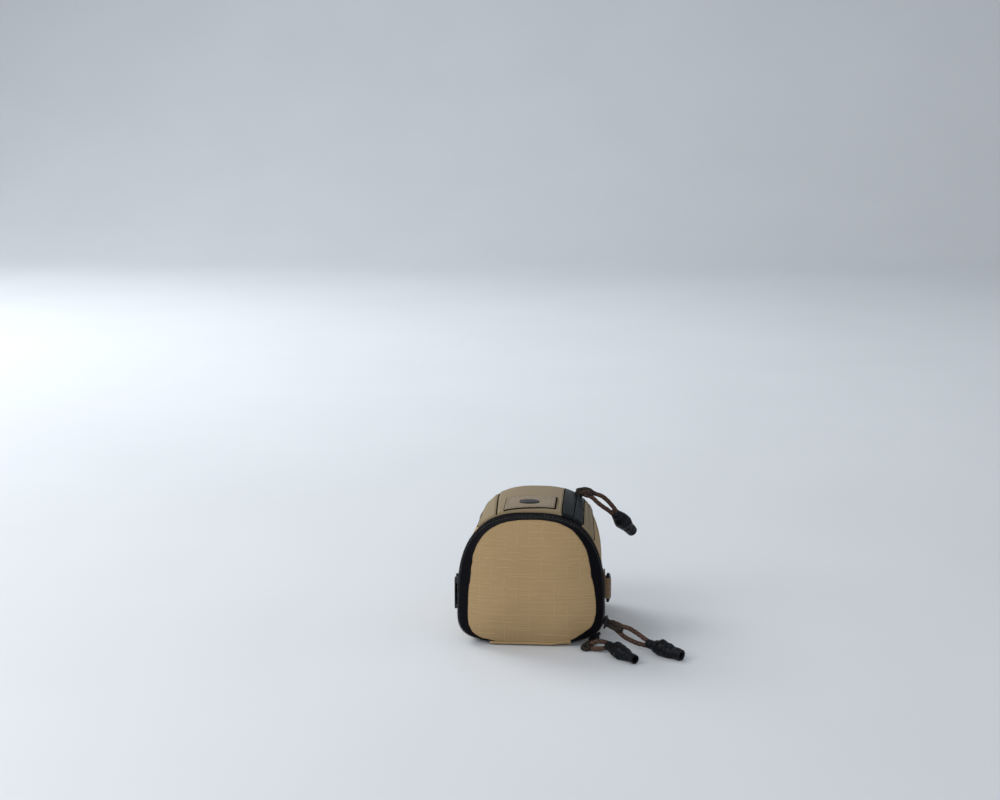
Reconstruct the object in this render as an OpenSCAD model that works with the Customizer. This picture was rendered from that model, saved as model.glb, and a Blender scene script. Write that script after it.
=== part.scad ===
// Binocular harness pack: a padded pouch with an arched zip lid, lying on its chest panel.
// X runs across the pack, Y from the lid to the bottom end, Z up.
// It is drawn with the lid's edge at Y zero, then placed with the chest panel's middle on the origin.

/* [Body] */
// Width across the zip line
body_w = 138.6; // [126:0.2:150]
// Length from the lid's edge to the bottom end
body_l = 160; // [150:1:180]
// Height of the zip line at its top
rim_h = 123.4; // [112:0.2:134]
// Height of the widest place of the cross-section
wide_z = 35; // [32:0.5:40]
// How much narrower each side is at the bottom end
taper = 5; // [2:0.5:8]
// How far each side pulls in just behind the zip
pull_in = 2; // [1:0.1:2.5]
// Place of the highest point of the top
crown_y = 65; // [55:1:75]
// Radius of the top's long crown
crown_r = 400; // [350:10:500]
// Radius of the rounded bottom end
end_r = 24; // [20:1:26]

/* [Layers] */
// Thickness of the ripstop shell
shell_t = 1.6; // [1.2:0.1:1.6]
// Thickness of the padding
foam_t = 5.5; // [4:0.5:6]
// Thickness of the lining
lining_t = 0.8; // [0.6:0.1:1]
// Thickness of the chest panel under the shell
chest_t = 2.5; // [2.3:0.1:2.8]

/* [Lid] */
// Width of the lid's panel
lid_w = 123; // [118:0.5:124]
// Height of the lid panel's top
lid_h = 121.5; // [120:0.1:122]
// How far the lid bulges
lid_dome = 11; // [6:0.5:12]

/* [Front pocket] */
// Place of the pocket zip across the top
strip_x = 38; // [36:0.5:40]
// Width of the coated zip at its near end
strip_w = 18; // [16:0.5:20]
// How far the front panel stands above the shell
panel_t = 2.9; // [2.9:0.1:3.2]
// Side of the square loop patch
patch_w = 46; // [40:1:46]

/* [Pulls] */
// Thickness of the pull cords
cord_d = 4; // [3.6:0.1:4.2]
// Length of the moulded sleeve on each pull
sleeve_l = 40; // [36:1:44]

/* [Side fittings] */
// Width of the webbing
webbing_w = 20; // [18:1:22]
// Height of the side fittings' middle
fitting_z = 42; // [40:1:44]

/* [Hidden] */
tan = [0.70, 0.62, 0.48];
tan_top = [0.62, 0.56, 0.47];
black = [0.08, 0.08, 0.09];
slate = [0.24, 0.27, 0.31];
metal = [0.16, 0.16, 0.17];
rope = [0.38, 0.31, 0.26];
grey = [0.45, 0.46, 0.48];

// Zip chain: the groove between the halves, and how far each part stands off the rim's line
rim_y = 14;
chain_mid = 12.3;
groove = 1.4;
coil_w = 2.6;
coil_lo = -1.7;
coil_hi = 0.7;
tape_lo = -2.2;
tooth_pitch = 2;
chain_end_x = 40;
lid_flare_y = 7;

// Cross-section: exponents of the upper half and of the lower half's left and right corners
n_top = 2.8;
n_left = 4;
n_right = 3.2;
shell_y = 18;
mouth_y = 24;
end_y = body_l - end_r;
around = 56;
foam_d = -shell_t - 0.4;
lining_d = foam_d - foam_t - 0.3;

// Lid outline
lid_z = 32;
lid_foot = 3;
lid_n = [2.55, 3.3, 2.6];
lid_mid = [0, 58];
lid_bulge = 2.6;
lid_fill = [[-180, -3.2], [-170, -2.85], [-150, -2.75], [-145, -2.3], [-138, -0.6], [-130, 0], [-53, 0], [-49, -0.8],
    [-45, -2.1], [-40, -2.5], [-30, -1.4], [-20, -0.1], [-10, -0.2], [0, -1], [10, -1.9], [20, -1.1], [27, 0], [35, 1.2],
    [45, 1.7], [55, 2.3], [65, 1.5], [80, 0.5], [95, 0.1], [105, 0.2], [115, 0.8], [130, 1.5], [140, 0.9], [150, 0],
    [160, -1.9], [170, -3.3], [180, -3.2]];
lid_skin = 1.2;

// Front pocket: its panel, with a sewn dart left of the patch, and its zip
strip_share = [-5 / 9, 4 / 9];
strip_lean = [-2, -3];
panel_left = -50;
panel_right = [57.5, 51.5];
panel_y = [19, 135];
panel_lo = 0.5;
edge_roll = 2.4;
dart_x = -32.5;
dart_lean = -0.05;
dart_depth = 1.5;
dart_w = 0.9;
coated_t = 0.6;
strip_ys = steps(panel_y[0], panel_y[1], 8);
front_y = 130;

// Sliders and pull rings
plate_l = 13;
plate_w = 8.8;
plate_t = 1.6;
bail_l = 8.4;
bail_h = 4.2;
bail_w = 2.2;
bail_z = 2;
bore_d = 2.8;
ring_w = 10.5;
ring_l = 6.5;
ring_bar = 1.8;
slider_a_z = 21.5;
slider_b_x = 59;
ring_a_dir = -8;
ring_b_dir = 209;
ring_front_dir = 183;

// Routes of the pull cords, each from its ring through the sleeve and back to the ring
route_a = [[80.7, 9.3, 21.1], [86, 6, 19.4], [92.5, 4, 18.2], [97, 1.8, 16.3], [101.5, -0.3, 14], [106.5, -3.8, 11.4],
    [111.1, -6.8, 9.4], [115.8, -10.6, 9], [119.7, -13.6, 8.8], [122.2, -16.1, 8.2], [120.4, -18.1, 5.5],
    [117.3, -16.2, 5.3], [113.6, -13, 5.8], [108.9, -9.2, 6.2], [101.4, -5.5, 6.7], [95.2, -3, 8.4], [89, -0.5, 10.8],
    [84.4, 2.9, 13.6], [81.2, 5.4, 15.4], [79.2, 8.4, 17]];
route_b = [[58.2, 5.4, 3.5], [57.3, -1.6, 3.9], [59.2, -6.9, 6.5], [63.4, -9.2, 9], [69, -11.2, 9.4], [74.9, -15.8, 9],
    [78.7, -20.4, 8.6], [82, -24.1, 8.4], [83.9, -27.1, 7.8], [81.5, -29.1, 5.5], [78.9, -26.7, 5.4],
    [75.9, -22.8, 5.8], [72.1, -17.4, 5.2], [66.6, -14.4, 3.8], [62, -12.6, 2.9], [57.8, -9.8, 2.4], [54.6, -5.8, 2.4],
    [53.6, -1, 2.4], [53.9, 5, 2.6]];
route_front = [[42.8, 123.4, 121.5], [50.7, 120.5, 122], [56.5, 121, 119.3], [63.3, 121, 116.9], [69.2, 121, 112.1],
    [74.3, 120, 106.6], [77.4, 119, 102.7], [80.1, 122.8, 98.8], [82.5, 125.9, 95.8], [83.6, 128.1, 93.3],
    [80.4, 128.1, 91.1], [78.4, 125.9, 93], [76.2, 122.8, 96.2], [73.6, 119, 100], [69.3, 118, 103.7], [63.4, 117, 107.9],
    [58.5, 117, 111.9], [53, 118, 116.6], [46, 118.5, 118.6]];
sleeve_a = [[110, -8, 7.8], [141, -33, 5.1]];
sleeve_b = [[73.5, -17, 7.6], [98.8, -47.5, 5]];
sleeve_front = [[75.6, 119, 101.4], [93.4, 144.2, 75.9]];

// ---- Solids from grids of points ----

function total(list, i = 0) = i == len(list) ? list[0] * 0 : list[i] + total(list, i + 1);
function flat(rows) = [for (row = rows) each row];
function six_volumes(p, f) = total([for (t = f) cross(p[t[0]], p[t[1]]) * p[t[2]]]);
function outward(p, f) = six_volumes(p, f) < 0 ? f : [for (t = f) [t[0], t[2], t[1]]];
function cell(a, b, c, d) = [[a, b, c], [a, c, d]];
function wall(n, i, k) = [for (j = [0 : n - 1]) each cell(i * n + j, i * n + (j + 1) % n, k * n + (j + 1) % n, k * n + j)];

// A solid whose surface is a stack of closed loops: joined in a circle, or shut by a fan at each end.
module looped(loops, shut) {
    n = len(loops[0]);
    m = len(loops);
    points = concat(flat(loops), [total(loops[0]) / n, total(loops[m - 1]) / n]);
    sides = [for (i = [0 : m - 2]) each wall(n, i, i + 1)];
    ends = shut
        ? [for (j = [0 : n - 1]) each [[j, m * n, (j + 1) % n], [(m - 1) * n + j, (m - 1) * n + (j + 1) % n, m * n + 1]]]
        : wall(n, m - 1, 0);
    faces = concat(sides, ends);
    kept = shut ? points : flat(loops);
    polyhedron(kept, outward(kept, faces));
}

// A slab between two grids of the same size, the upper and the lower skin.
module slab(top, low) {
    m = len(top);
    n = len(top[0]);
    points = concat(flat(top), flat(low));
    k = m * n;
    skin = [for (i = [0 : m - 2], j = [0 : n - 2])
        each concat(cell(i * n + j, i * n + j + 1, (i + 1) * n + j + 1, (i + 1) * n + j),
            cell(k + i * n + j, k + (i + 1) * n + j, k + (i + 1) * n + j + 1, k + i * n + j + 1))];
    long_sides = [for (i = [0 : m - 2])
        each concat(cell(i * n, (i + 1) * n, k + (i + 1) * n, k + i * n),
            cell(i * n + n - 1, k + i * n + n - 1, k + (i + 1) * n + n - 1, (i + 1) * n + n - 1))];
    short_sides = [for (j = [0 : n - 2])
        each concat(cell(j, k + j, k + j + 1, j + 1),
            cell((m - 1) * n + j, (m - 1) * n + j + 1, k + (m - 1) * n + j + 1, k + (m - 1) * n + j))];
    polyhedron(points, outward(points, concat(skin, long_sides, short_sides)));
}

// ---- The pack's form ----

function half_w(y) = body_w / 2 - pull_in * (1 - pow(max(0, 1 - (y - rim_y) / 16), 2)) * (y > rim_y ? 1 : 0)
    - taper * max(0, y - rim_y) / (body_l - rim_y);
function top_z(y) = rim_h + (pow(crown_y - rim_y, 2) - pow(max(y, rim_y) - crown_y, 2)) / (2 * crown_r);

// A closed outline with its own exponent in the upper half and in each lower corner: [point, normal].
function outline(phi, a, zm, up, down, n3) =
    let (s = sin(phi), c = cos(phi), n = s >= 0 ? n3[0] : c < 0 ? n3[1] : n3[2], b = s >= 0 ? up : down,
        r = pow(pow(abs(c) / a, n) + pow(abs(s) / b, n), -1 / n), x = r * c, z = r * s,
        g = [sign(x) * pow(abs(x) / a, n - 1) / a, sign(z) * pow(abs(z) / b, n - 1) / b])
    [[x, zm + z], g / norm(g)];
function rim(phi, y) = outline(phi, half_w(y), wide_z, top_z(y) - wide_z, wide_z, [n_top, n_left, n_right]);

// A point of the skin at offset d from the shell's face. The bottom end draws in towards its middle.
end_mid = [0, 62];
function in_end(y, d) = y <= end_y ? 0 : (end_r + d) - sqrt(max(0, pow(end_r + d, 2) - pow(y - end_y, 2)));
function skin(phi, y, d) =
    let (e = rim(phi, min(y, end_y)), p = e[0] + d * e[1], q = [p[0], max(p[1], chest_t - d)],
        k = 1 - in_end(y, d) / norm(q - end_mid), r = end_mid + k * (q - end_mid))
    [r[0], y, r[1]];
function ring(y, d, n = around) = [for (i = [0 : n - 1]) skin(360 * i / n, y, d)];
function end_rings(d, steps, n = around) =
    [for (i = [1 : steps]) ring(end_y + (end_r + d) * sin(90 * i / steps) - (i == steps ? 0.001 : 0), d, n)];
function back(list) = [for (i = [len(list) - 1 : -1 : 0]) list[i]];

// A point on the top at a place across, x, and its normal in the cross-section.
function on_top(x, y, d) =
    let (a = half_w(y), b = top_z(y) - wide_z, u = abs(x) / a, w = pow(1 - pow(u, n_top), 1 / n_top),
        g = [sign(x) * pow(u, n_top - 1) / a, pow(w, n_top - 1) / b], m = g / norm(g))
    [x + d * m[0], y, wide_z + b * w + d * m[1]];
function top_tilt(x, y) = let (p = on_top(x, y, 0), q = on_top(x, y, 1)) atan2(q[0] - p[0], q[2] - p[2]);
function grid(xs, ys, d) = [for (y = ys) [for (x = xs) on_top(x, y, d)]];
module on_panel(xs, ys, lo, hi) slab(grid(xs, ys, hi), grid(xs, ys, lo));
function steps(a, b, n) = [for (i = [0 : n]) a + (b - a) * i / n];

// ---- Zip chain round the lid ----

// The chain runs over the top from the right foot to the left one.
foot_phi = atan2(wide_z * pow(1 - pow(chain_end_x / (body_w / 2), n_left), 1 / n_left), chain_end_x);
function chain_phis(n) = steps(-foot_phi, 180 + foot_phi, n);
function chain_point(phi, d) = let (e = rim(phi, rim_y)) e[0] + d * e[1];

// The lid's sewn edge: the padding fills it out at the shoulders and draws it in at the sides and the lower right.
function lid_edge(phi, d) =
    let (e = outline(phi, lid_w / 2, lid_z, lid_h - lid_z, lid_z - lid_foot, lid_n), v = e[0] - lid_mid)
    e[0] + d * e[1] + lookup(atan2(v[1], v[0]), lid_fill) * v / norm(v);

// A band of the chain in the cross-section, swept along Y.
module chain_band(y, w, outer, inner) {
    translate([0, y + w, 0]) rotate([90, 0, 0])
        linear_extrude(w) polygon(concat(outer, back(inner)));
}
tooth_count = floor(360 / tooth_pitch);
module coil(y) {
    phis = chain_phis(tooth_count);
    toothed = [for (i = [0 : tooth_count]) chain_point(phis[i], i % 2 == 0 ? coil_hi : coil_hi - 0.7)];
    smooth = [for (phi = chain_phis(80)) chain_point(phi, coil_lo)];
    color(black) chain_band(y, coil_w, toothed, smooth);
}

// ---- Body ----

module outer_shell() {
    ys = [shell_y, 22, 27, 34, 50, 72, 94, 116, end_y];
    color(tan) looped(concat([for (y = ys) ring(y, 0)], [for (y = back(ys)) ring(y, -shell_t)]), false);
}

module bottom_end_panel() {
    outer = concat([ring(end_y, 0)], end_rings(0, 5));
    inner = concat([ring(end_y, -shell_t)], end_rings(-shell_t, 5));
    color(tan) looped(concat(back(inner), outer), true);
}

foam_sides = 40;
module shell_foam() {
    ys = [mouth_y + 0.6, 34, 60, 98, end_y];
    in_d = foam_d - foam_t;
    outer = concat([for (y = ys) ring(y, foam_d, foam_sides)], end_rings(foam_d, 3, foam_sides));
    inner = concat([for (y = ys) ring(y, in_d, foam_sides)], end_rings(in_d, 3, foam_sides));
    color(grey) looped(concat(back(inner), outer), true);
}

// The lining turns out over the padding's edge and meets the zip tape.
module inner_lining() {
    ys = [mouth_y + 0.4, 34, 60, 98, end_y];
    out_d = lining_d;
    in_d = out_d - lining_t;
    lip = tape_lo - 0.4;
    outer = concat([ring(mouth_y + 0.4, lip, foam_sides)], [for (y = ys) ring(y, out_d, foam_sides)],
        end_rings(out_d, 3, foam_sides));
    inner = concat([ring(mouth_y - 0.2, lip, foam_sides), ring(mouth_y - 0.2, in_d, foam_sides)],
        [for (i = [1 : len(ys) - 1]) ring(ys[i], in_d, foam_sides)], end_rings(in_d, 3, foam_sides));
    color(grey) looped(concat(back(inner), outer), true);
}

// A flat pad with cut corners.
chest_mid_y = 82.5;
chest_size = [88, 131];
module chest_panel() {
    c = 12;
    color(black) linear_extrude(chest_t - 0.05) intersection() {
        translate([-chest_size[0] / 2, chest_mid_y - chest_size[1] / 2]) square(chest_size);
        translate([0, chest_mid_y]) rotate(45) square((chest_size[0] + chest_size[1] - 2 * c) / sqrt(2), center = true);
    }
}

module lid_hinge_strip() {
    w = 2 * (chain_end_x - 5);
    color(tan) translate([-w / 2, 9, 1]) cube([w, 8, 1.3]);
}

// ---- Front pocket ----

// The panel's height over the shell at a place that lies inside its free edges by reach: they roll over.
function rolled(reach) =
    let (t = 1 - min(1, max(0, reach) / edge_roll)) panel_lo + (panel_t - panel_lo) * (0.25 + 0.75 * sqrt(1 - t * t));
function end_reach(y) = min(y - panel_y[0], panel_y[1] - y);

// The coated zip's left and right edges, which lean towards the patch on their way to the bottom end.
function strip_edge(side, y) = strip_x + strip_share[side] * strip_w
    + strip_lean[side] * (y - panel_y[0]) / (panel_y[1] - panel_y[0]);
roll_steps = [0, 0.35, 1.1, edge_roll];
panel_ys = concat([for (r = roll_steps) panel_y[0] + r], steps(panel_y[0] + 14, panel_y[1] - 14, 6),
    [for (r = back(roll_steps)) panel_y[1] - r]);

// The main panel, from its free left edge over the dart to the zip.
module front_panel() {
    function dart(y) = dart_x + dart_lean * (y - panel_y[0]);
    function height(x, y) = rolled(min(end_reach(y), x - panel_left)) - dart_depth * exp(-pow((x - dart(y)) / dart_w, 2));
    function xs(y) = concat([for (r = roll_steps) panel_left + r], [-42], [for (k = [-2.4, -0.9, 0, 0.9, 2.4]) dart(y) + k],
        steps(-26, strip_edge(0, y), 7));
    color(tan_top) slab([for (y = panel_ys) [for (x = xs(y)) on_top(x, y, height(x, y))]],
        [for (y = panel_ys) [for (x = xs(y)) on_top(x, y, panel_lo)]]);
}

// The panel's narrow strip on the zip's other side, which grows narrower towards the bottom end.
module front_panel_edge() {
    function far(y) = panel_right[0] + (panel_right[1] - panel_right[0]) * (y - panel_y[0]) / (panel_y[1] - panel_y[0]);
    function xs(y) = concat([strip_edge(1, y), (strip_edge(1, y) + far(y)) / 2], [for (r = back(roll_steps)) far(y) - r]);
    color(tan_top) slab([for (y = panel_ys) [for (x = xs(y)) on_top(x, y, rolled(min(end_reach(y), far(y) - x)))]],
        [for (y = panel_ys) [for (x = xs(y)) on_top(x, y, panel_lo)]]);
}

// One side of the coated zip, from the slit out to its leaning edge.
module coated_tape(side) {
    slit = strip_x + (side == 0 ? -groove / 2 : groove / 2);
    function xs(y) = side == 0 ? steps(strip_edge(0, y), slit, 2) : steps(slit, strip_edge(1, y), 2);
    color(slate) slab([for (y = strip_ys) [for (x = xs(y)) on_top(x, y, panel_t)]],
        [for (y = strip_ys) [for (x = xs(y)) on_top(x, y, panel_t - coated_t)]]);
}

module front_zip_tape_left() coated_tape(0);
module front_zip_tape_right() coated_tape(1);

module front_zip_coil() {
    w = 1.4;
    hi = panel_t - coated_t - 0.1;
    color(black) for (x = [strip_x - groove / 2 - w, strip_x + groove / 2])
        on_panel([x, x + w], strip_ys, hi - 0.8, hi);
}

// The patch sits a little crooked: its near edge runs back towards the right.
module loop_patch() {
    left = -25.5;
    right = left + patch_w;
    rows = 4;
    function near(x) = 20 + 5 * (x - left) / patch_w;
    function far(x) = 60 + 2 * (x - left) / patch_w;
    function skin_at(d) = [for (i = [0 : rows]) [for (x = steps(left, right, 6))
        on_top(x, near(x) + (far(x) - near(x)) * i / rows, d)]];
    color(tan_top) slab(skin_at(panel_t + 1.5), skin_at(panel_t + 0.1));
}

module patch_badge() {
    size = [19, 14];
    mid = on_top(-3.5, 38, panel_t + 1.8);
    function oval(k, z) = [for (i = [0 : 23]) mid + [k * size[0] / 2 * cos(15 * i), k * size[1] / 2 * sin(15 * i), z]];
    color(black) looped([oval(1, 0), oval(1, 0.9), oval(0.97, 1.3), oval(0.91, 1.45), oval(0.86, 1.25), oval(0.8, 1.35),
        oval(0.6, 2), oval(0.3, 2.45)], true);
}

// ---- Lid zip and its hinge side ----

// The tape follows the rim under the coil, then goes in under the shell's edge.
module body_zip_tape() {
    near = chain_mid + groove / 2;
    function under(phi, y, d) = let (p = chain_point(phi, d)) [p[0], y, p[1]];
    function row(d) = [for (phi = chain_phis(52)) [under(phi, near, d), under(phi, near + coil_w, d),
        skin(phi, shell_y, d - 0.2), skin(phi, mouth_y - 0.4, d - 0.2)]];
    color(black) slab(row(coil_lo - 0.1), row(tape_lo));
}

module body_zip_coil() coil(chain_mid + groove / 2);

module zip_end_stops() {
    for (side = [-1, 1])
        let (p = chain_point(side > 0 ? -foot_phi - 2 : 180 + foot_phi + 2, -0.3))
            color(metal) translate([p[0], chain_mid + 2.4, p[1] - 0.8]) linear_extrude(2.6) polygon(round_box(3, 3, 0.8));
}

// ---- Side fittings ----

// A doubled strap on the pack's side, from a loop round a bar back to where it is sewn down.
tab_x = 71.2;
tab_y = 56;
bar_d = 3;
bar_gap = 0.25;
strap_t = 1.5;
strap_l = 32;
module side_strap(x, y) {
    in0 = half_w(y) + 0.15;
    in1 = half_w(y + strap_l) + 0.15;
    r = bar_d / 2 + bar_gap + strap_t;
    color(tan_top) translate([0, 0, fitting_z - webbing_w / 2]) difference() {
        union() {
            translate([x, y]) cylinder(r = r, h = webbing_w, $fn = 48);
            linear_extrude(webbing_w) polygon([[in0, y], [in0 + 2 * strap_t, y - 1], [x + r - 0.6, y + 1],
                [in0 + 2 * strap_t, y + 8], [in1 + 2 * strap_t, y + strap_l], [in1, y + strap_l]]);
        }
        translate([x, y, -1]) cylinder(r = bar_d / 2 + bar_gap, h = webbing_w + 2, $fn = 48);
    }
}
module webbing_tab_right() side_strap(tab_x, tab_y);

buckle_x = 70;
buckle_y = 50;
module webbing_tab_left() mirror([1, 0, 0]) side_strap(buckle_x, buckle_y);

ring_r = 13;
tab_ring_turn = -6;
module tab_ring() {
    color(metal) translate([tab_x, tab_y, fitting_z]) rotate([0, 0, tab_ring_turn]) {
        cylinder(d = bar_d, h = 2 * ring_r, center = true, $fn = 32);
        rotate([90, 0, 90]) rotate_extrude(angle = 180, start = -90, $fn = 48)
            translate([ring_r, 0]) circle(d = bar_d, $fn = 24);
    }
}

// Female half of a side-release buckle, its mouth towards the lid, turning on a bar in the webbing.
// Its plate has round corners, side windows for the other half's prongs, and grip ribs on its outer face.
module side_buckle() {
    l = 21;
    h = 31;
    t = 6;
    wall_t = 0.85;
    corner_r = 4;
    x0 = -t / 2 - 0.7;
    mouth_h = h - 11;
    window = [9, 4.5];
    arm_z = webbing_w / 2 + 0.5;
    arm = h / 2 - arm_z;
    mid = buckle_y - 5 - l / 2;
    module plate(w, thick) rotate([90, 0, 90]) linear_extrude(thick) polygon(w);
    color(black) translate([-buckle_x, 0, fitting_z]) {
        difference() {
            translate([x0, mid, 0]) plate(round_box(l, h, corner_r), t);
            translate([x0 + wall_t, mid - l / 2 - 1, -mouth_h / 2]) cube([t - 2 * wall_t, l - 2, mouth_h]);
            for (side = [-1, 1]) translate([-t, mid, side * h / 2]) plate(round_box(window[0], 2 * window[1], 2), 2 * t);
        }
        for (k = [0 : 3]) translate([x0, mid + 1.4 + 2 * k, 0]) cylinder(d = 1, h = mouth_h - 4, center = true, $fn = 24);
        for (side = [-1, 1]) translate([-1.9, buckle_y - 3.5, side * (arm_z + arm / 2)])
            plate(round_box(11, arm, 1.2), 3.8);
        translate([0, buckle_y, 0]) cylinder(d = bar_d, h = h - 2, center = true, $fn = 32);
    }
}

// ---- Lid ----

function lid_point(phi, s, lift) =
    let (p = lid_mid + s * (lid_edge(phi, 0) - lid_mid)) [p[0], -lid_dome * (1 - pow(s, lid_bulge)) + lift, p[1]];
function lid_ring(s, lift, n) = [for (i = [0 : n - 1]) lid_point(360 * i / n, s, lift)];
module lid_layer(sizes, n, front, rear) {
    looped(concat([for (s = back(sizes)) lid_ring(s, front, n)], [for (s = sizes) lid_ring(s, rear, n)]), true);
}

module lid_panel() color(tan) lid_layer([1, 0.95, 0.86, 0.7, 0.48, 0.22], 56, 0, lid_skin);

module lid_foam() color(grey) lid_layer([0.95, 0.82, 0.55, 0.25], 36, lid_skin + 0.25, lid_skin + 5);

module lid_lining() color(grey) lid_layer([0.94, 0.82, 0.55, 0.25], 36, lid_skin + 5.25, lid_skin + 6);

module lid_zip_tape() {
    phis = chain_phis(60);
    lid_side = chain_mid - groove / 2;
    function mix(phi, t, d) = lid_edge(phi, 0.15) * (1 - t) + chain_point(phi, d) * t;
    function row(d, foot, rear) = [for (phi = phis) [for (s = [[foot, 0], [3.5, 0.55], [lid_flare_y, 1], [rear, 1]])
        let (p = mix(phi, s[1], d)) [p[0], s[0], p[1]]]];
    color(black) slab(row(coil_lo - 0.1, 0, lid_side), row(tape_lo, 0.9, lid_side));
}

module lid_zip_coil() coil(chain_mid - groove / 2 - coil_w);

// ---- Sliders and pulls ----

// Corner points of a rectangle with round corners, centred on the origin.
function round_box(w, l, r) = [for (c = [[1, 1, 0], [-1, 1, 90], [-1, -1, 180], [1, -1, 270]]) for (a = [0 : 30 : 90])
    [c[0] * (w / 2 - r) + r * cos(c[2] + a), c[1] * (l / 2 - r) + r * sin(c[2] + a)]];

// A slider's plate: a round nose where the halves part, drawn in to a narrower tail where they close.
tail_w = 8.2;
tail_r = 1.6;
function shield() = concat(
    [for (a = [-90 : 15 : 90]) [plate_l / 2 - plate_w / 2 + plate_w / 2 * cos(a), plate_w / 2 * sin(a)]],
    [for (a = [90 : 30 : 180]) [tail_r - plate_l / 2 + tail_r * cos(a), tail_w / 2 - tail_r + tail_r * sin(a)]],
    [for (a = [180 : 30 : 270]) [tail_r - plate_l / 2 + tail_r * cos(a), tail_r - tail_w / 2 + tail_r * sin(a)]]);

// A slider in its own frame: X along the chain towards the nose, Y across it, Z out of it, zero on the rim's line.
// Its lower plate and its flange are on one half only, so that the other side's coil can leave.
module slider(upper_z, lower_z, lower_t, flange_h) {
    neck = [4, 0.8];
    lower_l = 8;
    flange = [[-4.6, 3.65], [2.2, 3.65], [2.2, 4.38], [-4.6, 4.1]];
    color(metal) {
        difference() {
            union() {
                translate([0, 0, upper_z]) linear_extrude(plate_t) polygon(shield());
                translate([0, bail_w / 2, upper_z + plate_t - 0.1]) rotate([90, 0, 0]) linear_extrude(bail_w)
                    polygon([for (a = [0 : 15 : 180]) [bail_l / 2 * cos(a), (bail_h + 0.1) * sin(a)]]);
            }
            translate([0, 0, upper_z + plate_t + bail_z]) rotate([90, 0, 0])
                cylinder(d = bore_d, h = 20, center = true, $fn = 48);
        }
        translate([-neck[0] / 2, -neck[1] / 2, lower_z + lower_t - 0.1])
            cube([neck[0], neck[1], upper_z - lower_z - lower_t + 0.2]);
        translate([-lower_l / 2, -neck[1] / 2, lower_z]) cube([lower_l, coil_w + 0.8, lower_t]);
        if (flange_h > 0) translate([0, 0, upper_z - flange_h]) linear_extrude(flange_h + 0.1) polygon(flange);
    }
}

// A pull ring of round wire, bent round the origin's bore and reaching along +X.
module pull_ring() {
    bend = 2.1;
    half = (ring_w - ring_bar) / 2;
    color(metal) {
        for (x = [0, ring_l]) translate([x, 0, 0]) rotate([90, 0, 0])
            cylinder(d = ring_bar, h = 2 * (half - bend), center = true, $fn = 24);
        for (y = [-half, half]) translate([bend, y, 0]) rotate([0, 90, 0])
            cylinder(d = ring_bar, h = ring_l - 2 * bend, $fn = 24);
        for (c = [[ring_l - bend, half - bend, 0], [bend, half - bend, 90],
            [bend, bend - half, 180], [ring_l - bend, bend - half, 270]])
            translate([c[0], c[1], 0]) rotate([0, 0, c[2]])
                rotate_extrude(angle = 90, $fn = 24) translate([bend, 0]) circle(d = ring_bar, $fn = 24);
    }
}

// Frames on the lid's chain: the place, and the turn from the normal's angle.
function phi_at_z(z, lo, hi, n = 40) = n == 0 ? (lo + hi) / 2
    : let (m = (lo + hi) / 2) chain_point(m, 0)[1] < z ? phi_at_z(z, m, hi, n - 1) : phi_at_z(z, lo, m, n - 1);
function phi_at_x(x, lo, hi, n = 40) = n == 0 ? (lo + hi) / 2
    : let (m = (lo + hi) / 2) chain_point(m, 0)[0] < x ? phi_at_x(x, m, hi, n - 1) : phi_at_x(x, lo, m, n - 1);
phi_a = phi_at_z(slider_a_z, -60, 0);
phi_b = phi_at_x(slider_b_x, -60, 0);
module on_chain(phi) {
    e = rim(phi, rim_y);
    translate([e[0][0], chain_mid, e[0][1]]) rotate([0, 90 - atan2(e[1][1], e[1][0]), 0]) children();
}
function chain_pivot(phi, d) = let (p = chain_point(phi, d)) [p[0], chain_mid, p[1]];
top_plate = coil_hi + 0.7;
flange_h = 1.2;
lower_plate_t = 1.2;
lower_plate = tape_lo - 0.8 - lower_plate_t;
pivot_d = top_plate + plate_t + bail_z;

module slider_a() on_chain(phi_a) slider(top_plate, lower_plate, lower_plate_t, flange_h);
module slider_b() on_chain(phi_b) mirror([1, 0, 0]) slider(top_plate, lower_plate, lower_plate_t, flange_h);
module pull_ring_a() translate(chain_pivot(phi_a, pivot_d)) rotate([0, -ring_a_dir, 0]) pull_ring();
module pull_ring_b() translate(chain_pivot(phi_b, pivot_d)) rotate([0, -ring_b_dir, 0]) pull_ring();

// The pocket's slider leans with the top's side slope and follows its crown.
front_tilt = top_tilt(strip_x, front_y);
front_slope = atan2(on_top(strip_x, front_y + 1, 0)[2] - on_top(strip_x, front_y - 1, 0)[2], 2);
module on_front() translate(on_top(strip_x, front_y, 0))
    rotate([front_slope, 0, 0]) rotate([0, front_tilt, 0]) rotate([0, 0, 90]) children();
front_plate = panel_t + 0.4;
module slider_front() on_front() slider(front_plate, 0.4, 0.6, 0);
module pull_ring_front() on_front() translate([0, 0, front_plate + plate_t + bail_z])
    rotate([0, -ring_front_dir, 0]) pull_ring();

// A round cord along a route: one ring of points at each place, square to the way it runs.
cord_sides = 8;
function unit(v) = v / norm(v);
function way(route, i) = unit(route[min(i + 1, len(route) - 1)] - route[max(i - 1, 0)]);
function carried(u, t) = unit(u - (u * t) * t);
function frames(route, i, u) = i == len(route) ? []
    : let (v = carried(u, way(route, i))) concat([v], frames(route, i + 1, v));
module tube(route, d) {
    us = frames(route, 0, [0.1, 0.2, 1]);
    loops = [for (i = [0 : len(route) - 1]) let (t = way(route, i), v = cross(t, us[i]))
        [for (k = [0 : cord_sides - 1]) let (a = 360 * k / cord_sides)
            route[i] + d / 2 * (us[i] * cos(a) + v * sin(a))]];
    color(rope) looped(loops, true);
}
module pull_cord_a() tube(route_a, cord_d);
module pull_cord_b() tube(route_b, cord_d);
module pull_cord_front() tube(route_front, cord_d);

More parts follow.
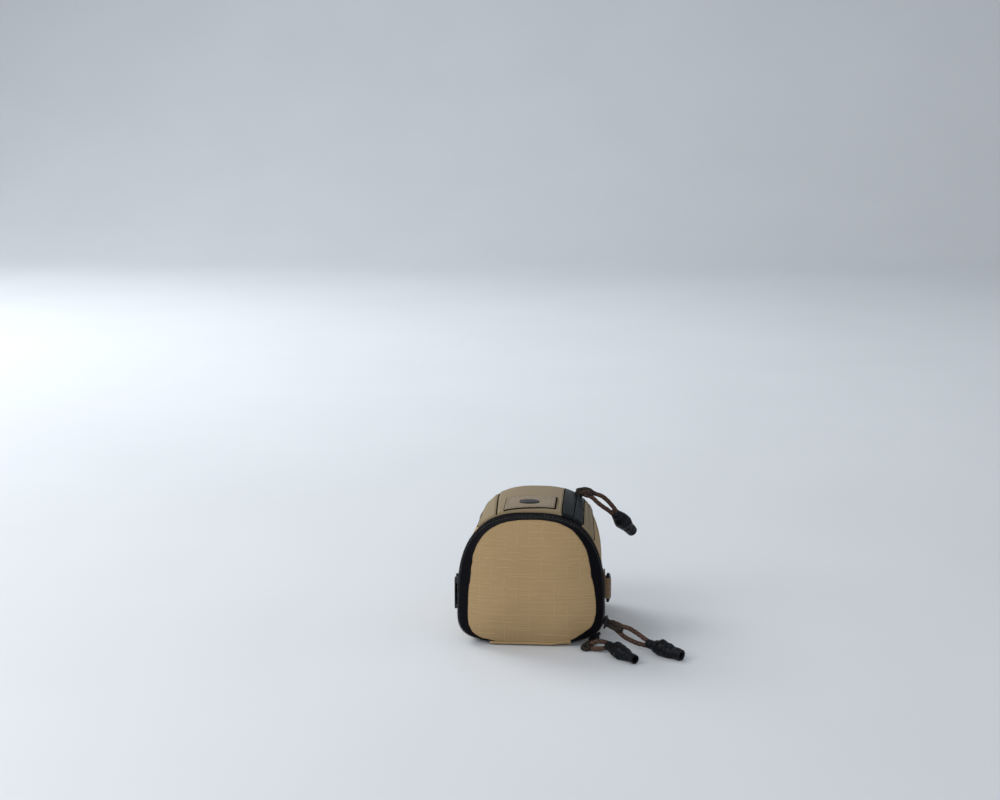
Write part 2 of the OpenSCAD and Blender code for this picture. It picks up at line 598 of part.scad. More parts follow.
// The sleeve: a narrow mouth, a swell over the knot and a round tail with an open end.
module sleeve(ends) {
    v = ends[1] - ends[0];
    m = [[0, 0], [4.6, 0], [5, 3], [5.9, 8], [6.5, 12], [6.6, 15], [6.1, 20], [5, 26], [4.5, 31], [4.6, sleeve_l - 2],
        [4.2, sleeve_l], [2.8, sleeve_l], [2.8, sleeve_l - 6], [0, sleeve_l - 6]];
    color(black) translate(ends[0]) rotate([0, atan2(norm([v[0], v[1]]), v[2]), atan2(v[1], v[0])])
        rotate_extrude($fn = 32) polygon(m);
}
module pull_sleeve_a() sleeve(sleeve_a);
module pull_sleeve_b() sleeve(sleeve_b);
module pull_sleeve_front() sleeve(sleeve_front);

module placed() translate([0, -chest_mid_y, 0]) children();
placed() outer_shell();
placed() bottom_end_panel();
placed() shell_foam();
placed() inner_lining();
placed() chest_panel();
placed() lid_hinge_strip();
placed() front_panel();
placed() front_panel_edge();
placed() front_zip_tape_left();
placed() front_zip_tape_right();
placed() front_zip_coil();
placed() loop_patch();
placed() patch_badge();
placed() body_zip_tape();
placed() body_zip_coil();
placed() zip_end_stops();
placed() webbing_tab_right();
placed() webbing_tab_left();
placed() tab_ring();
placed() side_buckle();
placed() lid_panel();
placed() lid_foam();
placed() lid_lining();
placed() lid_zip_tape();
placed() lid_zip_coil();
placed() slider_a();
placed() slider_b();
placed() slider_front();
placed() pull_ring_a();
placed() pull_ring_b();
placed() pull_ring_front();
placed() pull_cord_a();
placed() pull_cord_b();
placed() pull_cord_front();
placed() pull_sleeve_a();
placed() pull_sleeve_b();
placed() pull_sleeve_front();
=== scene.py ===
"""Binocular harness pack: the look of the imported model, in its own frame, in metres.

Forms are worked out in millimetres, with Y measured from the lid's edge, and placed by at().
"""
import bisect
import math

import bmesh
import bpy
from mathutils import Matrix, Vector, noise


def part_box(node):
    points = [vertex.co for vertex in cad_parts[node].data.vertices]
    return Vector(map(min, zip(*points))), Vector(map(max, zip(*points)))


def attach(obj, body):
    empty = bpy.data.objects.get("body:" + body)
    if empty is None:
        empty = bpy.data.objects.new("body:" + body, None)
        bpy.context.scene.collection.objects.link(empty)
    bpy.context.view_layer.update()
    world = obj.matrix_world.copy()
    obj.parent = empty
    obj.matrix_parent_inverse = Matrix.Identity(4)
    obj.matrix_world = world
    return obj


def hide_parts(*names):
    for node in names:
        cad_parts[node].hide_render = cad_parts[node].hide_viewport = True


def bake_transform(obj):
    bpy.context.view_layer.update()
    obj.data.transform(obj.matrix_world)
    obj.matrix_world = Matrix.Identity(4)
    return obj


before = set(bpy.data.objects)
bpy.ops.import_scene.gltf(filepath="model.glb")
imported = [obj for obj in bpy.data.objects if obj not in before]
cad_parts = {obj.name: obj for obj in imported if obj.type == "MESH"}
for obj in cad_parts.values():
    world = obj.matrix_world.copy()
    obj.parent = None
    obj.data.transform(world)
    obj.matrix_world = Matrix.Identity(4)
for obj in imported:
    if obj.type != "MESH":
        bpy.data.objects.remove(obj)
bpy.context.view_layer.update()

MM = 0.001
LID_SKIN = 1.2
EDGE_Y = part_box("lid_panel")[1].y / MM - LID_SKIN
RIGHT, AWAY, UP = Vector((1, 0, 0)), Vector((0, 1, 0)), Vector((0, 0, 1))


def at(point):
    """A point in millimetres, with Y from the lid's edge, as a place in the frame."""
    return Vector((point[0], point[1] + EDGE_Y, point[2])) * MM


def placed(name, data):
    """A new object in the scene that holds a mesh, a light or the camera."""
    made = bpy.data.objects.new(name, data)
    bpy.context.scene.collection.objects.link(made)
    return made


def aim(made, way):
    """Turns a camera or light to look along a direction."""
    made.rotation_euler = way.to_track_quat("-Z", "Y").to_euler()


# ---- Camera ----

# Millimetres and degrees; it is turned a little to the left of the pack
LENS = 66.42
SENSOR = 36
CAMERA_DISTANCE = 1750
CAMERA_HEIGHT = 541
CAMERA_SIDE_DEG = 3.6
CAMERA_DOWN_DEG = 10.42
CAMERA_TURN_DEG = 0.9742


def make_camera():
    side = math.radians(CAMERA_SIDE_DEG)
    down = math.radians(CAMERA_DOWN_DEG)
    flat = math.sqrt(CAMERA_DISTANCE**2 - CAMERA_HEIGHT**2)
    place = Vector((math.sin(side) * flat, -math.cos(side) * flat, CAMERA_HEIGHT))
    heading = math.atan2(-place.x, -place.y) - math.radians(CAMERA_TURN_DEG)
    level = Vector((math.sin(heading), math.cos(heading), 0))
    data = bpy.data.cameras.new("camera")
    data.sensor_width = SENSOR
    data.lens = LENS
    camera = placed("camera", data)
    camera.location = at(place)
    aim(camera, level * math.cos(down) - UP * math.sin(down))
    bpy.context.scene.camera = camera


make_camera()

# ---- Materials ----


class Shader:
    """A material's node tree, with short calls for the nodes that the finishes share."""

    def __init__(self, name, rough, **sockets):
        self.material = bpy.data.materials.new(name)
        self.material.use_nodes = True
        self.tree = self.material.node_tree
        self.bsdf = self.tree.nodes["Principled BSDF"]
        self.bsdf.inputs["Roughness"].default_value = rough
        for key, value in sockets.items():
            self.bsdf.inputs[key.replace("_", " ")].default_value = value
        self.place = self.add("ShaderNodeTexCoord").outputs

    def add(self, kind, **settings):
        node = self.tree.nodes.new(kind)
        for key, value in settings.items():
            setattr(node, key, value)
        return node

    def put(self, socket, value):
        if isinstance(value, bpy.types.NodeSocket):
            self.tree.links.new(value, socket)
        else:
            socket.default_value = value

    def math(self, kind, a, b=0.0, c=0.0):
        node = self.add("ShaderNodeMath", operation=kind)
        for socket, value in zip(node.inputs, (a, b, c)):
            self.put(socket, value)
        return node.outputs[0]

    def plus(self, a, b):
        return self.math("ADD", a, b)

    def less(self, a, b):
        return self.math("SUBTRACT", a, b)

    def times(self, a, b):
        return self.math("MULTIPLY", a, b)

    def wave(self, value, length):
        return self.math("SINE", self.times(value, 2 * math.pi / length))

    def split(self, vector):
        node = self.add("ShaderNodeSeparateXYZ")
        self.put(node.inputs[0], vector)
        return node.outputs

    def noise(self, scale, detail=2.0, rough=0.5):
        """Noise with a number of features per metre, or one number each along X, Y and Z."""
        stretch = self.add("ShaderNodeMapping", vector_type="POINT")
        self.put(stretch.inputs["Vector"], self.place["Object"])
        stretch.inputs["Scale"].default_value = scale if isinstance(scale, tuple) else (scale,) * 3
        node = self.add("ShaderNodeTexNoise")
        self.put(node.inputs["Vector"], stretch.outputs[0])
        for key, value in (("Scale", 1), ("Detail", detail), ("Roughness", rough)):
            node.inputs[key].default_value = value
        return node.outputs["Fac"]

    def cells(self, scale):
        """Distance to the nearest of scattered points, about scale of them along a metre."""
        node = self.add("ShaderNodeTexVoronoi", feature="F1")
        node.inputs["Scale"].default_value = scale
        self.put(node.inputs["Vector"], self.place["Object"])
        return node.outputs["Distance"]

    def lines(self, coordinate, pitch, width):
        """One on thin lines a pitch apart, falling off to nothing or less between them."""
        far = self.math("PINGPONG", coordinate, pitch / 2)
        return self.math("SMOOTH_MIN", 1.0, self.less(1.0, self.math("DIVIDE", far, width)), 0.1)

    def ramp(self, value, *stops):
        node = self.add("ShaderNodeValToRGB")
        self.put(node.inputs[0], value)
        ramp = node.color_ramp
        while len(ramp.elements) < len(stops):
            ramp.elements.new(0.5)
        for element, (place, colour) in zip(ramp.elements, stops):
            element.position = place
            element.color = (*colour, 1)
        return node.outputs["Color"]

    def shades(self, value, colour, *stops):
        """A ramp through shades of one colour; each stop is a value and the colour's factor there."""
        return self.ramp(value, *[(place, tuple(min(1, c * f) for c in colour)) for place, f in stops])

    def bump(self, height, depth, strength):
        node = self.add("ShaderNodeBump")
        node.inputs["Strength"].default_value = strength
        node.inputs["Distance"].default_value = depth
        self.put(node.inputs["Height"], height)
        return node.outputs[0]

    def done(self, colour, normal=None, rough=None):
        for key, value in (("Base Color", colour), ("Normal", normal), ("Roughness", rough)):
            if value:
                self.put(self.bsdf.inputs[key], value)
        return self.material


def ripstop(name, colour, slub=1.0):
    """Plain-woven cloth with thicker threads that come and go, and small knots where they cross."""
    s = Shader(name, 0.9, Sheen_Weight=0.04, Sheen_Roughness=0.5, Specular_IOR_Level=0.12)
    x, y, z = s.split(s.place["Object"])
    nx, ny, nz = [s.math("ABSOLUTE", n) for n in s.split(s.place["Normal"])]
    thread_w = 0.0006

    def rows(coordinate, pitch, stretch, facing):
        """Thread lines broken up by noise, left out where the face looks along their axis."""
        line = s.math("MAXIMUM", s.lines(coordinate, pitch, thread_w), 0.0)
        seen = s.times(s.less(s.noise(stretch, 1), 0.47), 9.0)
        shown = s.times(line, s.math("MINIMUM", s.math("MAXIMUM", seen, 0.0), 1.0))
        return s.times(shown, s.math("LESS_THAN", facing, 0.8))

    across = s.math("MAXIMUM", rows(z, 0.0041, (34, 34, 260), nz),
        rows(s.plus(z, 0.0017), 0.0067, (30, 30, 210), nz))
    upright = s.plus(rows(x, 0.0118, (260, 28, 28), nx), rows(y, 0.0118, (28, 260, 28), ny))
    knots = s.times(across, upright)
    threads = s.plus(s.times(s.noise((45, 45, 900)), s.less(1.0, nz)), s.times(s.noise((900, 900, 45)), 0.5))
    relief = s.plus(s.times(across, 0.75), s.plus(s.times(upright, 0.4), knots))
    fine = s.plus(s.times(threads, 0.2), s.times(s.noise(14, 3), 0.25))
    value = s.plus(s.times(relief, 0.62 * slub), fine)
    tint = s.shades(value, colour, (0.12, 0.86), (0.30, 1.0), (0.72, 1.27))
    height = s.plus(s.times(relief, slub), s.times(threads, 0.35))
    return s.done(tint, s.bump(height, 0.00055, 0.8))


def tape_black(name, colour):
    """Woven black tape with fine ribs."""
    s = Shader(name, 0.9, Specular_IOR_Level=0.06)
    ribs = s.wave(s.split(s.place["Object"])[1], 0.0011)
    fuzz = s.noise(500, 3)
    tint = s.shades(s.plus(s.times(ribs, 0.15), fuzz), colour, (0.3, 0.75), (0.7, 1.3))
    return s.done(tint, s.bump(s.plus(ribs, fuzz), 0.0002, 0.5))


def moulded(name, colour, rough=0.45, grain=1400):
    """Moulded plastic with a fine spark texture."""
    s = Shader(name, rough, Specular_IOR_Level=0.25)
    fine = s.noise(grain, 3, 0.6)
    wear = s.noise(120, 4)
    tint = s.shades(wear, colour, (0.35, 0.85), (0.75, 1.35))
    return s.done(tint, s.bump(fine, 0.00008, 0.6), s.plus(rough - 0.1, s.times(wear, 0.25)))


def painted_metal(name, colour):
    """Black painted zinc, polished a little by use."""
    s = Shader(name, 0.32, Metallic=0.5, Specular_IOR_Level=0.3)
    scratch = s.noise((2200, 300, 900), 4, 0.65)
    wear = s.noise(260, 4)
    tint = s.shades(s.times(scratch, wear), colour, (0.2, 0.8), (0.5, 2.2))
    return s.done(tint, s.bump(scratch, 0.00004, 0.4), s.plus(0.22, s.times(wear, 0.3)))


def coated(name, colour):
    """Coated water-repellent zip tape: smooth, with a soft shine and faint fabric relief."""
    s = Shader(name, 0.5, Specular_IOR_Level=0.1)
    cloudy = s.noise((90, 30, 90), 3)
    weave = s.noise((700, 1500, 700), 2)
    tint = s.shades(cloudy, colour, (0.3, 0.88), (0.75, 1.15))
    return s.done(tint, s.bump(weave, 0.00008, 0.5), s.plus(0.36, s.times(cloudy, 0.18)))


def pile(name, colour):
    """Loop pile of a patch panel."""
    s = Shader(name, 0.95, Sheen_Weight=0.08, Specular_IOR_Level=0.05)
    loops = s.cells(1100)
    value = s.plus(s.times(loops, 0.5), s.times(s.noise(60, 3), 0.7))
    return s.done(s.shades(value, colour, (0.2, 1.15), (0.9, 0.75)), s.bump(loops, 0.0006, 0.7))


def webbing(name, colour, edge):
    """Nylon webbing with chevron ribs."""
    s = Shader(name, 0.7, Sheen_Weight=0.15)
    x, y, z = s.split(s.place["Object"])
    zig = s.times(s.math("PINGPONG", z, 0.0012), 0.8)
    ribs = s.wave(s.plus(s.plus(x, y), zig), 0.0013)
    value = s.plus(s.times(ribs, 0.2), s.noise((300, 300, 900), 3))
    return s.done(s.ramp(value, (0.25, edge), (0.7, colour)), s.bump(ribs, 0.0003, 0.7))


def braid(name, dark, light):
    """Braided cord: two colours of strand that cross, on the piece's own unrolled coordinates."""
    s = Shader(name, 0.85, Specular_IOR_Level=0.12)
    u, v, _ = s.split(s.add("ShaderNodeUVMap", uv_map="unrolled").outputs[0])
    one = s.wave(s.plus(s.times(u, 4), v), 1)
    two = s.wave(s.less(s.times(u, 4), v), 1)
    value = s.plus(s.times(s.less(one, two), 0.18), s.noise(60, 2))
    return s.done(s.ramp(value, (0.3, dark), (0.62, light)), s.bump(s.math("MAXIMUM", one, two), 0.0004, 0.8))


def shrunk_tube(name, colour):
    """Heat-shrink tube: satin, lightly rippled."""
    s = Shader(name, 0.48, Specular_IOR_Level=0.13)
    ripples = s.noise(160, 4, 0.6)
    height = s.plus(ripples, s.times(s.noise(1500, 2), 0.2))
    tint = s.shades(ripples, colour, (0.3, 0.8), (0.8, 1.5))
    return s.done(tint, s.bump(height, 0.0006, 0.6), s.plus(0.32, s.times(ripples, 0.25)))


def spacer_mesh(name, colour):
    """Spacer mesh with small round holes."""
    s = Shader(name, 0.85, Sheen_Weight=0.1)
    holes = s.math("LESS_THAN", s.cells(420), 0.25)
    return s.done(s.shades(holes, colour, (0.4, 1), (0.6, 0.25)), s.bump(s.less(1.0, holes), 0.0005, 0.8))


def fold_shade(name, colour):
    """Painted shade of a sewn fold: no gloss, a little uneven."""
    s = Shader(name, 1.0, Specular_IOR_Level=0.0)
    fuzz = s.noise(700, 2)
    return s.done(s.shades(fuzz, colour, (0.3, 0.6), (0.7, 1.5)), s.bump(fuzz, 0.0001, 0.4))


def plain_weave(name, colour):
    """Fine smooth lining cloth, or thread."""
    s = Shader(name, 0.6, Sheen_Weight=0.2)
    threads = s.plus(s.noise((200, 2600, 200)), s.noise((2600, 200, 200)))
    tint = s.shades(s.noise(25, 3), colour, (0.3, 0.85), (0.75, 1.15))
    return s.done(tint, s.bump(threads, 0.0001, 0.5))


def floor_paint(name):
    s = Shader(name, 0.55, Specular_IOR_Level=0.3)
    return s.done(s.ramp(s.noise(3, 2), (0.3, (0.62, 0.645, 0.67)), (0.7, (0.64, 0.665, 0.69))))


FINISHES = {
    "ripstop_tan": (ripstop, (0.365, 0.250, 0.128)),
    "ripstop_top": (ripstop, (0.245, 0.190, 0.115), 0.25),
    "lining": (plain_weave, (0.085, 0.088, 0.095)),
    "mesh_black": (spacer_mesh, (0.02, 0.02, 0.022)),
    "zip_black": (tape_black, (0.0045, 0.0045, 0.006)),
    "coil_black": (moulded, (0.007, 0.007, 0.0085)),
    "coated_slate": (coated, (0.005, 0.0075, 0.009)),
    "loop_pile": (pile, (0.250, 0.200, 0.140)),
    "badge_black": (moulded, (0.016, 0.016, 0.018), 0.3, 900),
    "webbing_tan": (webbing, (0.30, 0.20, 0.12), (0.14, 0.09, 0.055)),
    "metal_black": (painted_metal, (0.016, 0.016, 0.018)),
    "plastic_black": (moulded, (0.014, 0.014, 0.016)),
    "cord_brown": (braid, (0.040, 0.022, 0.018), (0.098, 0.058, 0.042)),
    "sleeve_black": (shrunk_tube, (0.003, 0.0036, 0.0052)),
    "thread_tan": (plain_weave, (0.26, 0.20, 0.12)),
    "thread_black": (plain_weave, (0.02, 0.02, 0.022)),
    # Painted shade for the dark lines in sewn folds and along the patch's edges
    "thread_dark": (fold_shade, (0.0060, 0.0046, 0.0036)),
    # The hitch is the same cord as cord_brown, made darker as painted shade
    "hitch_brown": (braid, (0.013, 0.010, 0.008), (0.036, 0.029, 0.023)),
    "floor": (floor_paint,),
}
MATERIALS = {name: make(name, *colours) for name, (make, *colours) in FINISHES.items()}

# ---- Meshes ----


def new_mesh(name, form):
    mesh = bpy.data.meshes.new(name)
    mesh.from_pydata([at(p) for p in form[0]], [], form[1])
    return mesh


def make_object(name, form, material, smooth_deg=60):
    """A mesh object from points in millimetres and faces, which are made to look out, with soft shading."""
    mesh = new_mesh(name, form)
    made = bmesh.new()
    made.from_mesh(mesh)
    bmesh.ops.remove_doubles(made, verts=made.verts, dist=1e-7)
    bmesh.ops.recalc_face_normals(made, faces=made.faces)
    made.to_mesh(mesh)
    made.free()
    mesh.shade_smooth()
    mesh.set_sharp_from_angle(angle=math.radians(smooth_deg))
    mesh.materials.append(MATERIALS[material])
    return placed(name, mesh)


def quads(rows, wrap=False, caps=()):
    """Points and faces of a grid: wrap joins each row's ends, and caps are the rows closed by a face."""
    n = len(rows[0])
    points = [p for row in rows for p in row]
    faces = []
    for i in range(len(rows) - 1):
        for j in range(n if wrap else n - 1):
            k = (j + 1) % n
            faces.append((i * n + j, i * n + k, (i + 1) * n + k, (i + 1) * n + j))
    faces += [tuple(i * n + j for j in range(n)) for i in caps]
    return points, faces


def closed(rings):
    """A form between rings, shut at both ends."""
    return quads(rings, True, (0, len(rings) - 1))


def slab(top, low):
    """A sheet of cloth between two grids of the same size, joined all round."""
    points, faces = quads([t + l[::-1] for t, l in zip(top, low)], True)
    n = 2 * len(top[0])
    for start in (0, len(points) - n):
        faces += [(start + j, start + j + 1, start + n - 2 - j, start + n - 1 - j) for j in range(n // 2 - 1)]
    return points, faces


def piece(made, body, slot, *nodes):
    """Sets down what a made piece rides on and hides the CAD nodes that it stands for; slot is not used."""
    if nodes:
        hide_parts(*nodes)
    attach(made, body)
    return made


def make_piece(name, form, body, slot, *nodes, smooth_deg=60):
    """A mesh piece with its slot's own finish."""
    return piece(make_object(name, form, slot, smooth_deg), body, slot, *nodes)


def spread(a, b, n):
    return [a + (b - a) * i / n for i in range(n + 1)]


def ease(t):
    t = max(0.0, min(1.0, t))
    return t * t * (3 - 2 * t)


def mix(a, b, t):
    return a + (b - a) * t


def bell(x, width):
    return math.exp(-((x / width) ** 2))


def fade(x, length):
    return math.exp(-x / length)


def between(table, x):
    """A value read off a table of (x, value) pairs, with soft turns at its entries."""
    for (x0, v0), (x1, v1) in zip(table, table[1:]):
        if x <= x1:
            return mix(v0, v1, ease((x - x0) / (x1 - x0)))
    return table[-1][1]


def ripple(point, size, seed=0.0):
    """Smooth noise from -1 to 1 with features about size millimetres across."""
    return noise.noise(Vector((point[0] / size + seed, point[1] / size + 3.7 * seed, point[2] / size - seed)))


def ring(centre, side, up, n):
    """Points round a centre; side and up are the half axes of the round."""
    return [centre + side * math.cos(a) + up * math.sin(a) for a in (2 * math.pi * k / n for k in range(n))]


def direction(path, i):
    """The way a path runs at its i-th point."""
    return (path[min(i + 1, len(path) - 1)] - path[max(i - 1, 0)]).normalized()


def tube(path, radius, sides):
    """The rings of a round tube along a path of vectors."""
    rings = []
    side = None
    for i, p in enumerate(path):
        along = direction(path, i)
        side = along.orthogonal() if side is None else side - along * side.dot(along)
        side.normalize()
        rings.append(ring(p, side * radius, along.cross(side) * radius, sides))
    return rings


def merge(parts):
    """One list of points and faces from several."""
    points, faces = [], []
    for more_points, more_faces in parts:
        base = len(points)
        points += more_points
        faces += [tuple(base + i for i in face) for face in more_faces]
    return points, faces


STITCH_R = 0.32
STITCH_L = 2.3
STITCH_PITCH = 3.1
# Share of the length, then the lift and thickness there as shares of STITCH_R
STITCH_FORM = ((0, -0.3, 0.45), (0.15, 0.75, 1), (0.5, 0.75, 1), (0.85, 0.75, 1), (1, -0.3, 0.45))


def stitches(line, lifts):
    """A run of sewn stitches along a line of points; lifts are the outward directions at the points."""
    parts = []
    walked = 0.0
    for p, q, up in zip(line, line[1:], lifts):
        length = (q - p).length
        if length == 0:
            continue
        way = (q - p) / length
        side = way.cross(up)
        while walked < length:
            start = p + way * walked
            parts.append(closed([ring(start + way * STITCH_L * share + up * STITCH_R * lift,
                side * STITCH_R * thick, up * STITCH_R * thick, 6) for share, lift, thick in STITCH_FORM]))
            walked += STITCH_PITCH
        walked -= length
    return merge(parts)


CLOTH_FRAMES = 20


def swap_mesh(made, mesh):
    """Gives an object a computed mesh in place of its own, and drops its modifiers."""
    old = made.data
    made.modifiers.clear()
    made.data = mesh
    mesh.name = old.name
    if not mesh.materials:
        mesh.materials.append(old.materials[0])
    bpy.data.meshes.remove(old)
    mesh.shade_smooth()


def computed(made):
    graph = bpy.context.evaluated_depsgraph_get()
    return bpy.data.meshes.new_from_object(made.evaluated_get(graph))


def fill_out(made, voxel, pressure, cap, held):
    """Swells a closed piece as sewn padding does: cloth under pressure, held where it is stitched down."""
    even = made.modifiers.new("even", "REMESH")
    even.mode = "VOXEL"
    even.voxel_size = voxel * MM
    swap_mesh(made, computed(made))
    rest = [v.co.copy() for v in made.data.vertices]
    sewn = made.vertex_groups.new(name="sewn")
    sewn.add([i for i, p in enumerate(rest) if held(p)], 1, "REPLACE")
    cloth = made.modifiers.new("cloth", "CLOTH")
    for key, value in (("quality", 6), ("mass", 0.25), ("bending_stiffness", 0.4), ("use_pressure", True),
            ("uniform_pressure_force", pressure), ("vertex_group_mass", "sewn")):
        setattr(cloth.settings, key, value)
    cloth.settings.effector_weights.gravity = 0
    cloth.point_cache.frame_start = 1
    cloth.point_cache.frame_end = CLOTH_FRAMES
    for number in range(1, CLOTH_FRAMES + 1):
        bpy.context.scene.frame_set(number)
    swap_mesh(made, computed(made))
    made.vertex_groups.clear()
    for v, start in zip(made.data.vertices, rest):
        moved = v.co - start
        v.co = start + moved * min(1, cap * MM / max(moved.length, 1e-9))
    bpy.context.scene.frame_set(1)
    finer = made.modifiers.new("finer", "SUBSURF")
    finer.levels = finer.render_levels = 1
    swap_mesh(made, computed(made))


# ---- The pack's form ----

BODY_W, BODY_L, RIM_H, WIDE_Z = 138.6, 160.0, 123.4, 35.0
TAPER, PULL_IN, CROWN_Y, CROWN_R = 5.0, 2.0, 65.0, 400.0
RIM_Y, END_R, CHEST_T = 14.0, 24.0, 2.5
N_TOP, N_LEFT, N_RIGHT = 2.8, 4.0, 3.2
SHELL_Y, MOUTH_Y = 18.0, 24.0
END_Y = BODY_L - END_R
END_MID = Vector((0, 62))
SHELL_T, FOAM_T = 1.6, 5.5
LINING_D = -SHELL_T - FOAM_T - 0.7
CHAIN_MID, GROOVE, COIL_W = 12.3, 1.4, 2.6
COIL_LO, COIL_HI, TAPE_LO = -1.7, 0.7, -2.2
CHAIN_END_X = 40.0
LID_W, LID_H, LID_DOME, LID_Z, LID_FOOT = 123.0, 121.5, 11.0, 32.0, 3.0
LID_N = (2.55, 3.3, 2.6)
LID_MID = Vector((0, 58))
LID_BULGE = 2.6
# How far the lid's edge is filled out, by the angle in degrees round its middle
LID_FILL = (
    (-180, -3.2), (-170, -2.85), (-150, -2.75), (-145, -2.3), (-138, -0.6), (-130, 0), (-53, 0),
    (-49, -0.8), (-45, -2.1), (-40, -2.5), (-30, -1.4), (-20, -0.1), (-10, -0.2), (0, -1), (10, -1.9),
    (20, -1.1), (27, 0), (35, 1.2), (45, 1.7), (55, 2.3), (65, 1.5), (80, 0.5), (95, 0.1), (105, 0.2),
    (115, 0.8), (130, 1.5), (140, 0.9), (150, 0), (160, -1.9), (170, -3.3), (180, -3.2))
STRIP_X, PANEL_T = 38.0, 2.9
PANEL_NEAR, PANEL_FAR = 19.0, 135.0


def half_w(y):
    pulled = PULL_IN * (1 - max(0, 1 - (y - RIM_Y) / 16) ** 2) if y > RIM_Y else 0
    return BODY_W / 2 - pulled - TAPER * max(0, y - RIM_Y) / (BODY_L - RIM_Y)


def top_z(y):
    return RIM_H + ((CROWN_Y - RIM_Y) ** 2 - (max(y, RIM_Y) - CROWN_Y) ** 2) / (2 * CROWN_R)


def outline(phi, a, zm, up, down, powers):
    """A point of a rounded cross-section and its outward direction, both in (X, Z)."""
    s, c = math.sin(math.radians(phi)), math.cos(math.radians(phi))
    n = powers[0] if s >= 0 else powers[1] if c < 0 else powers[2]
    b = up if s >= 0 else down
    r = ((abs(c) / a) ** n + (abs(s) / b) ** n) ** (-1 / n)
    x, z = r * c, r * s
    g = Vector((math.copysign((abs(x) / a) ** (n - 1) / a, x), math.copysign((abs(z) / b) ** (n - 1) / b, z)))
    return Vector((x, zm + z)), g.normalized()


def rim(phi, y):
    return outline(phi, half_w(y), WIDE_Z, top_z(y) - WIDE_Z, WIDE_Z, (N_TOP, N_LEFT, N_RIGHT))


def skin(phi, y, d):
    """A point of the shell's face, or off it by d; the bottom end draws in towards its middle."""
    p, n = rim(phi, min(y, END_Y))
    q = p + n * d
    q.y = max(q.y, CHEST_T - d)
    drawn = 0 if y <= END_Y else (END_R + d) - math.sqrt(max(0, (END_R + d) ** 2 - (y - END_Y) ** 2))
    r = END_MID + (q - END_MID) * (1 - drawn / (q - END_MID).length)
    return Vector((r.x, y, r.y))


def on_top(x, y, d):
    """A point over the top at a place across, x, lifted by d along the cross-section's own direction."""
    a, b = half_w(y), top_z(y) - WIDE_Z
    u = min(abs(x) / a, 0.999)
    w = (1 - u**N_TOP) ** (1 / N_TOP)
    m = Vector((math.copysign(u ** (N_TOP - 1) / a, x), w ** (N_TOP - 1) / b)).normalized()
    return Vector((x + d * m.x, y, WIDE_Z + b * w + d * m.y))


def up_from_top(x, y):
    return (on_top(x, y, 1) - on_top(x, y, 0)).normalized()


FOOT_Z = WIDE_Z * (1 - (CHAIN_END_X / (BODY_W / 2)) ** N_LEFT) ** (1 / N_LEFT)
FOOT_PHI = math.degrees(math.atan2(FOOT_Z, CHAIN_END_X))


def chain_phis(n):
    return spread(-FOOT_PHI, 180 + FOOT_PHI, n)


def full_turn(n):
    """Angles in degrees, once round."""
    return [360 * k / n for k in range(n)]


def chain_point(phi, d):
    p, n = rim(phi, RIM_Y)
    return p + n * d


def lid_edge(phi, d):
    """The lid's sewn edge, filled out at the shoulders and drawn in at the sides and the lower right."""
    p, n = outline(phi, LID_W / 2, LID_Z, LID_H - LID_Z, LID_Z - LID_FOOT, LID_N)
    v = p - LID_MID
    return p + n * d + v.normalized() * between(LID_FILL, math.degrees(math.atan2(v.y, v.x)))


def raised(flat, y):
    return Vector((flat.x, y, flat.y))


# ---- Cords ----

CORD_D = 4.0
CORD_DRAWN, HITCH_DRAWN = CORD_D * 1.09, CORD_D * 1.12
BRAID_TURN = 5.0
CORD_STEP = 0.7
ROUTES = {
    "a": [(80.7, 9.3, 21.1), (86, 6, 19.4), (92.5, 4, 18.2), (97, 1.8, 16.3), (101.5, -0.3, 14),
        (106.5, -3.8, 11.4), (111.1, -6.8, 9.4), (115.8, -10.6, 9), (119.7, -13.6, 8.8),
        (122.2, -16.1, 8.2), (120.4, -18.1, 5.5), (117.3, -16.2, 5.3), (113.6, -13, 5.8),
        (108.9, -9.2, 6.2), (101.4, -5.5, 6.7), (95.2, -3, 8.4), (89, -0.5, 10.8), (84.4, 2.9, 13.6),
        (81.2, 5.4, 15.4), (79.2, 8.4, 17)],
    "b": [(58.2, 5.4, 3.5), (57.3, -1.6, 3.9), (59.2, -6.9, 6.5), (63.4, -9.2, 9), (69, -11.2, 9.4),
        (74.9, -15.8, 9), (78.7, -20.4, 8.6), (82, -24.1, 8.4), (83.9, -27.1, 7.8), (81.5, -29.1, 5.5),
        (78.9, -26.7, 5.4), (75.9, -22.8, 5.8), (72.1, -17.4, 5.2), (66.6, -14.4, 3.8),
        (62, -12.6, 2.9), (57.8, -9.8, 2.4), (54.6, -5.8, 2.4), (53.6, -1, 2.4), (53.9, 5, 2.6)],
    "front": [(42.8, 123.4, 121.5), (50.7, 120.5, 122), (56.5, 121, 119.3), (63.3, 121, 116.9),
        (69.2, 121, 112.1), (74.3, 120, 106.6), (77.4, 119, 102.7), (80.1, 122.8, 98.8),
        (82.5, 125.9, 95.8), (83.6, 128.1, 93.3), (80.4, 128.1, 91.1), (78.4, 125.9, 93),
        (76.2, 122.8, 96.2), (73.6, 119, 100), (69.3, 118, 103.7), (63.4, 117, 107.9),
        (58.5, 117, 111.9), (53, 118, 116.6), (46, 118.5, 118.6)],
}
SLEEVES = {
    "a": ((110, -8, 7.8), (141, -33, 5.1)),
    "b": ((73.5, -17, 7.6), (98.8, -47.5, 5)),
    "front": ((75.6, 119, 101.4), (93.4, 144.2, 75.9)),
}


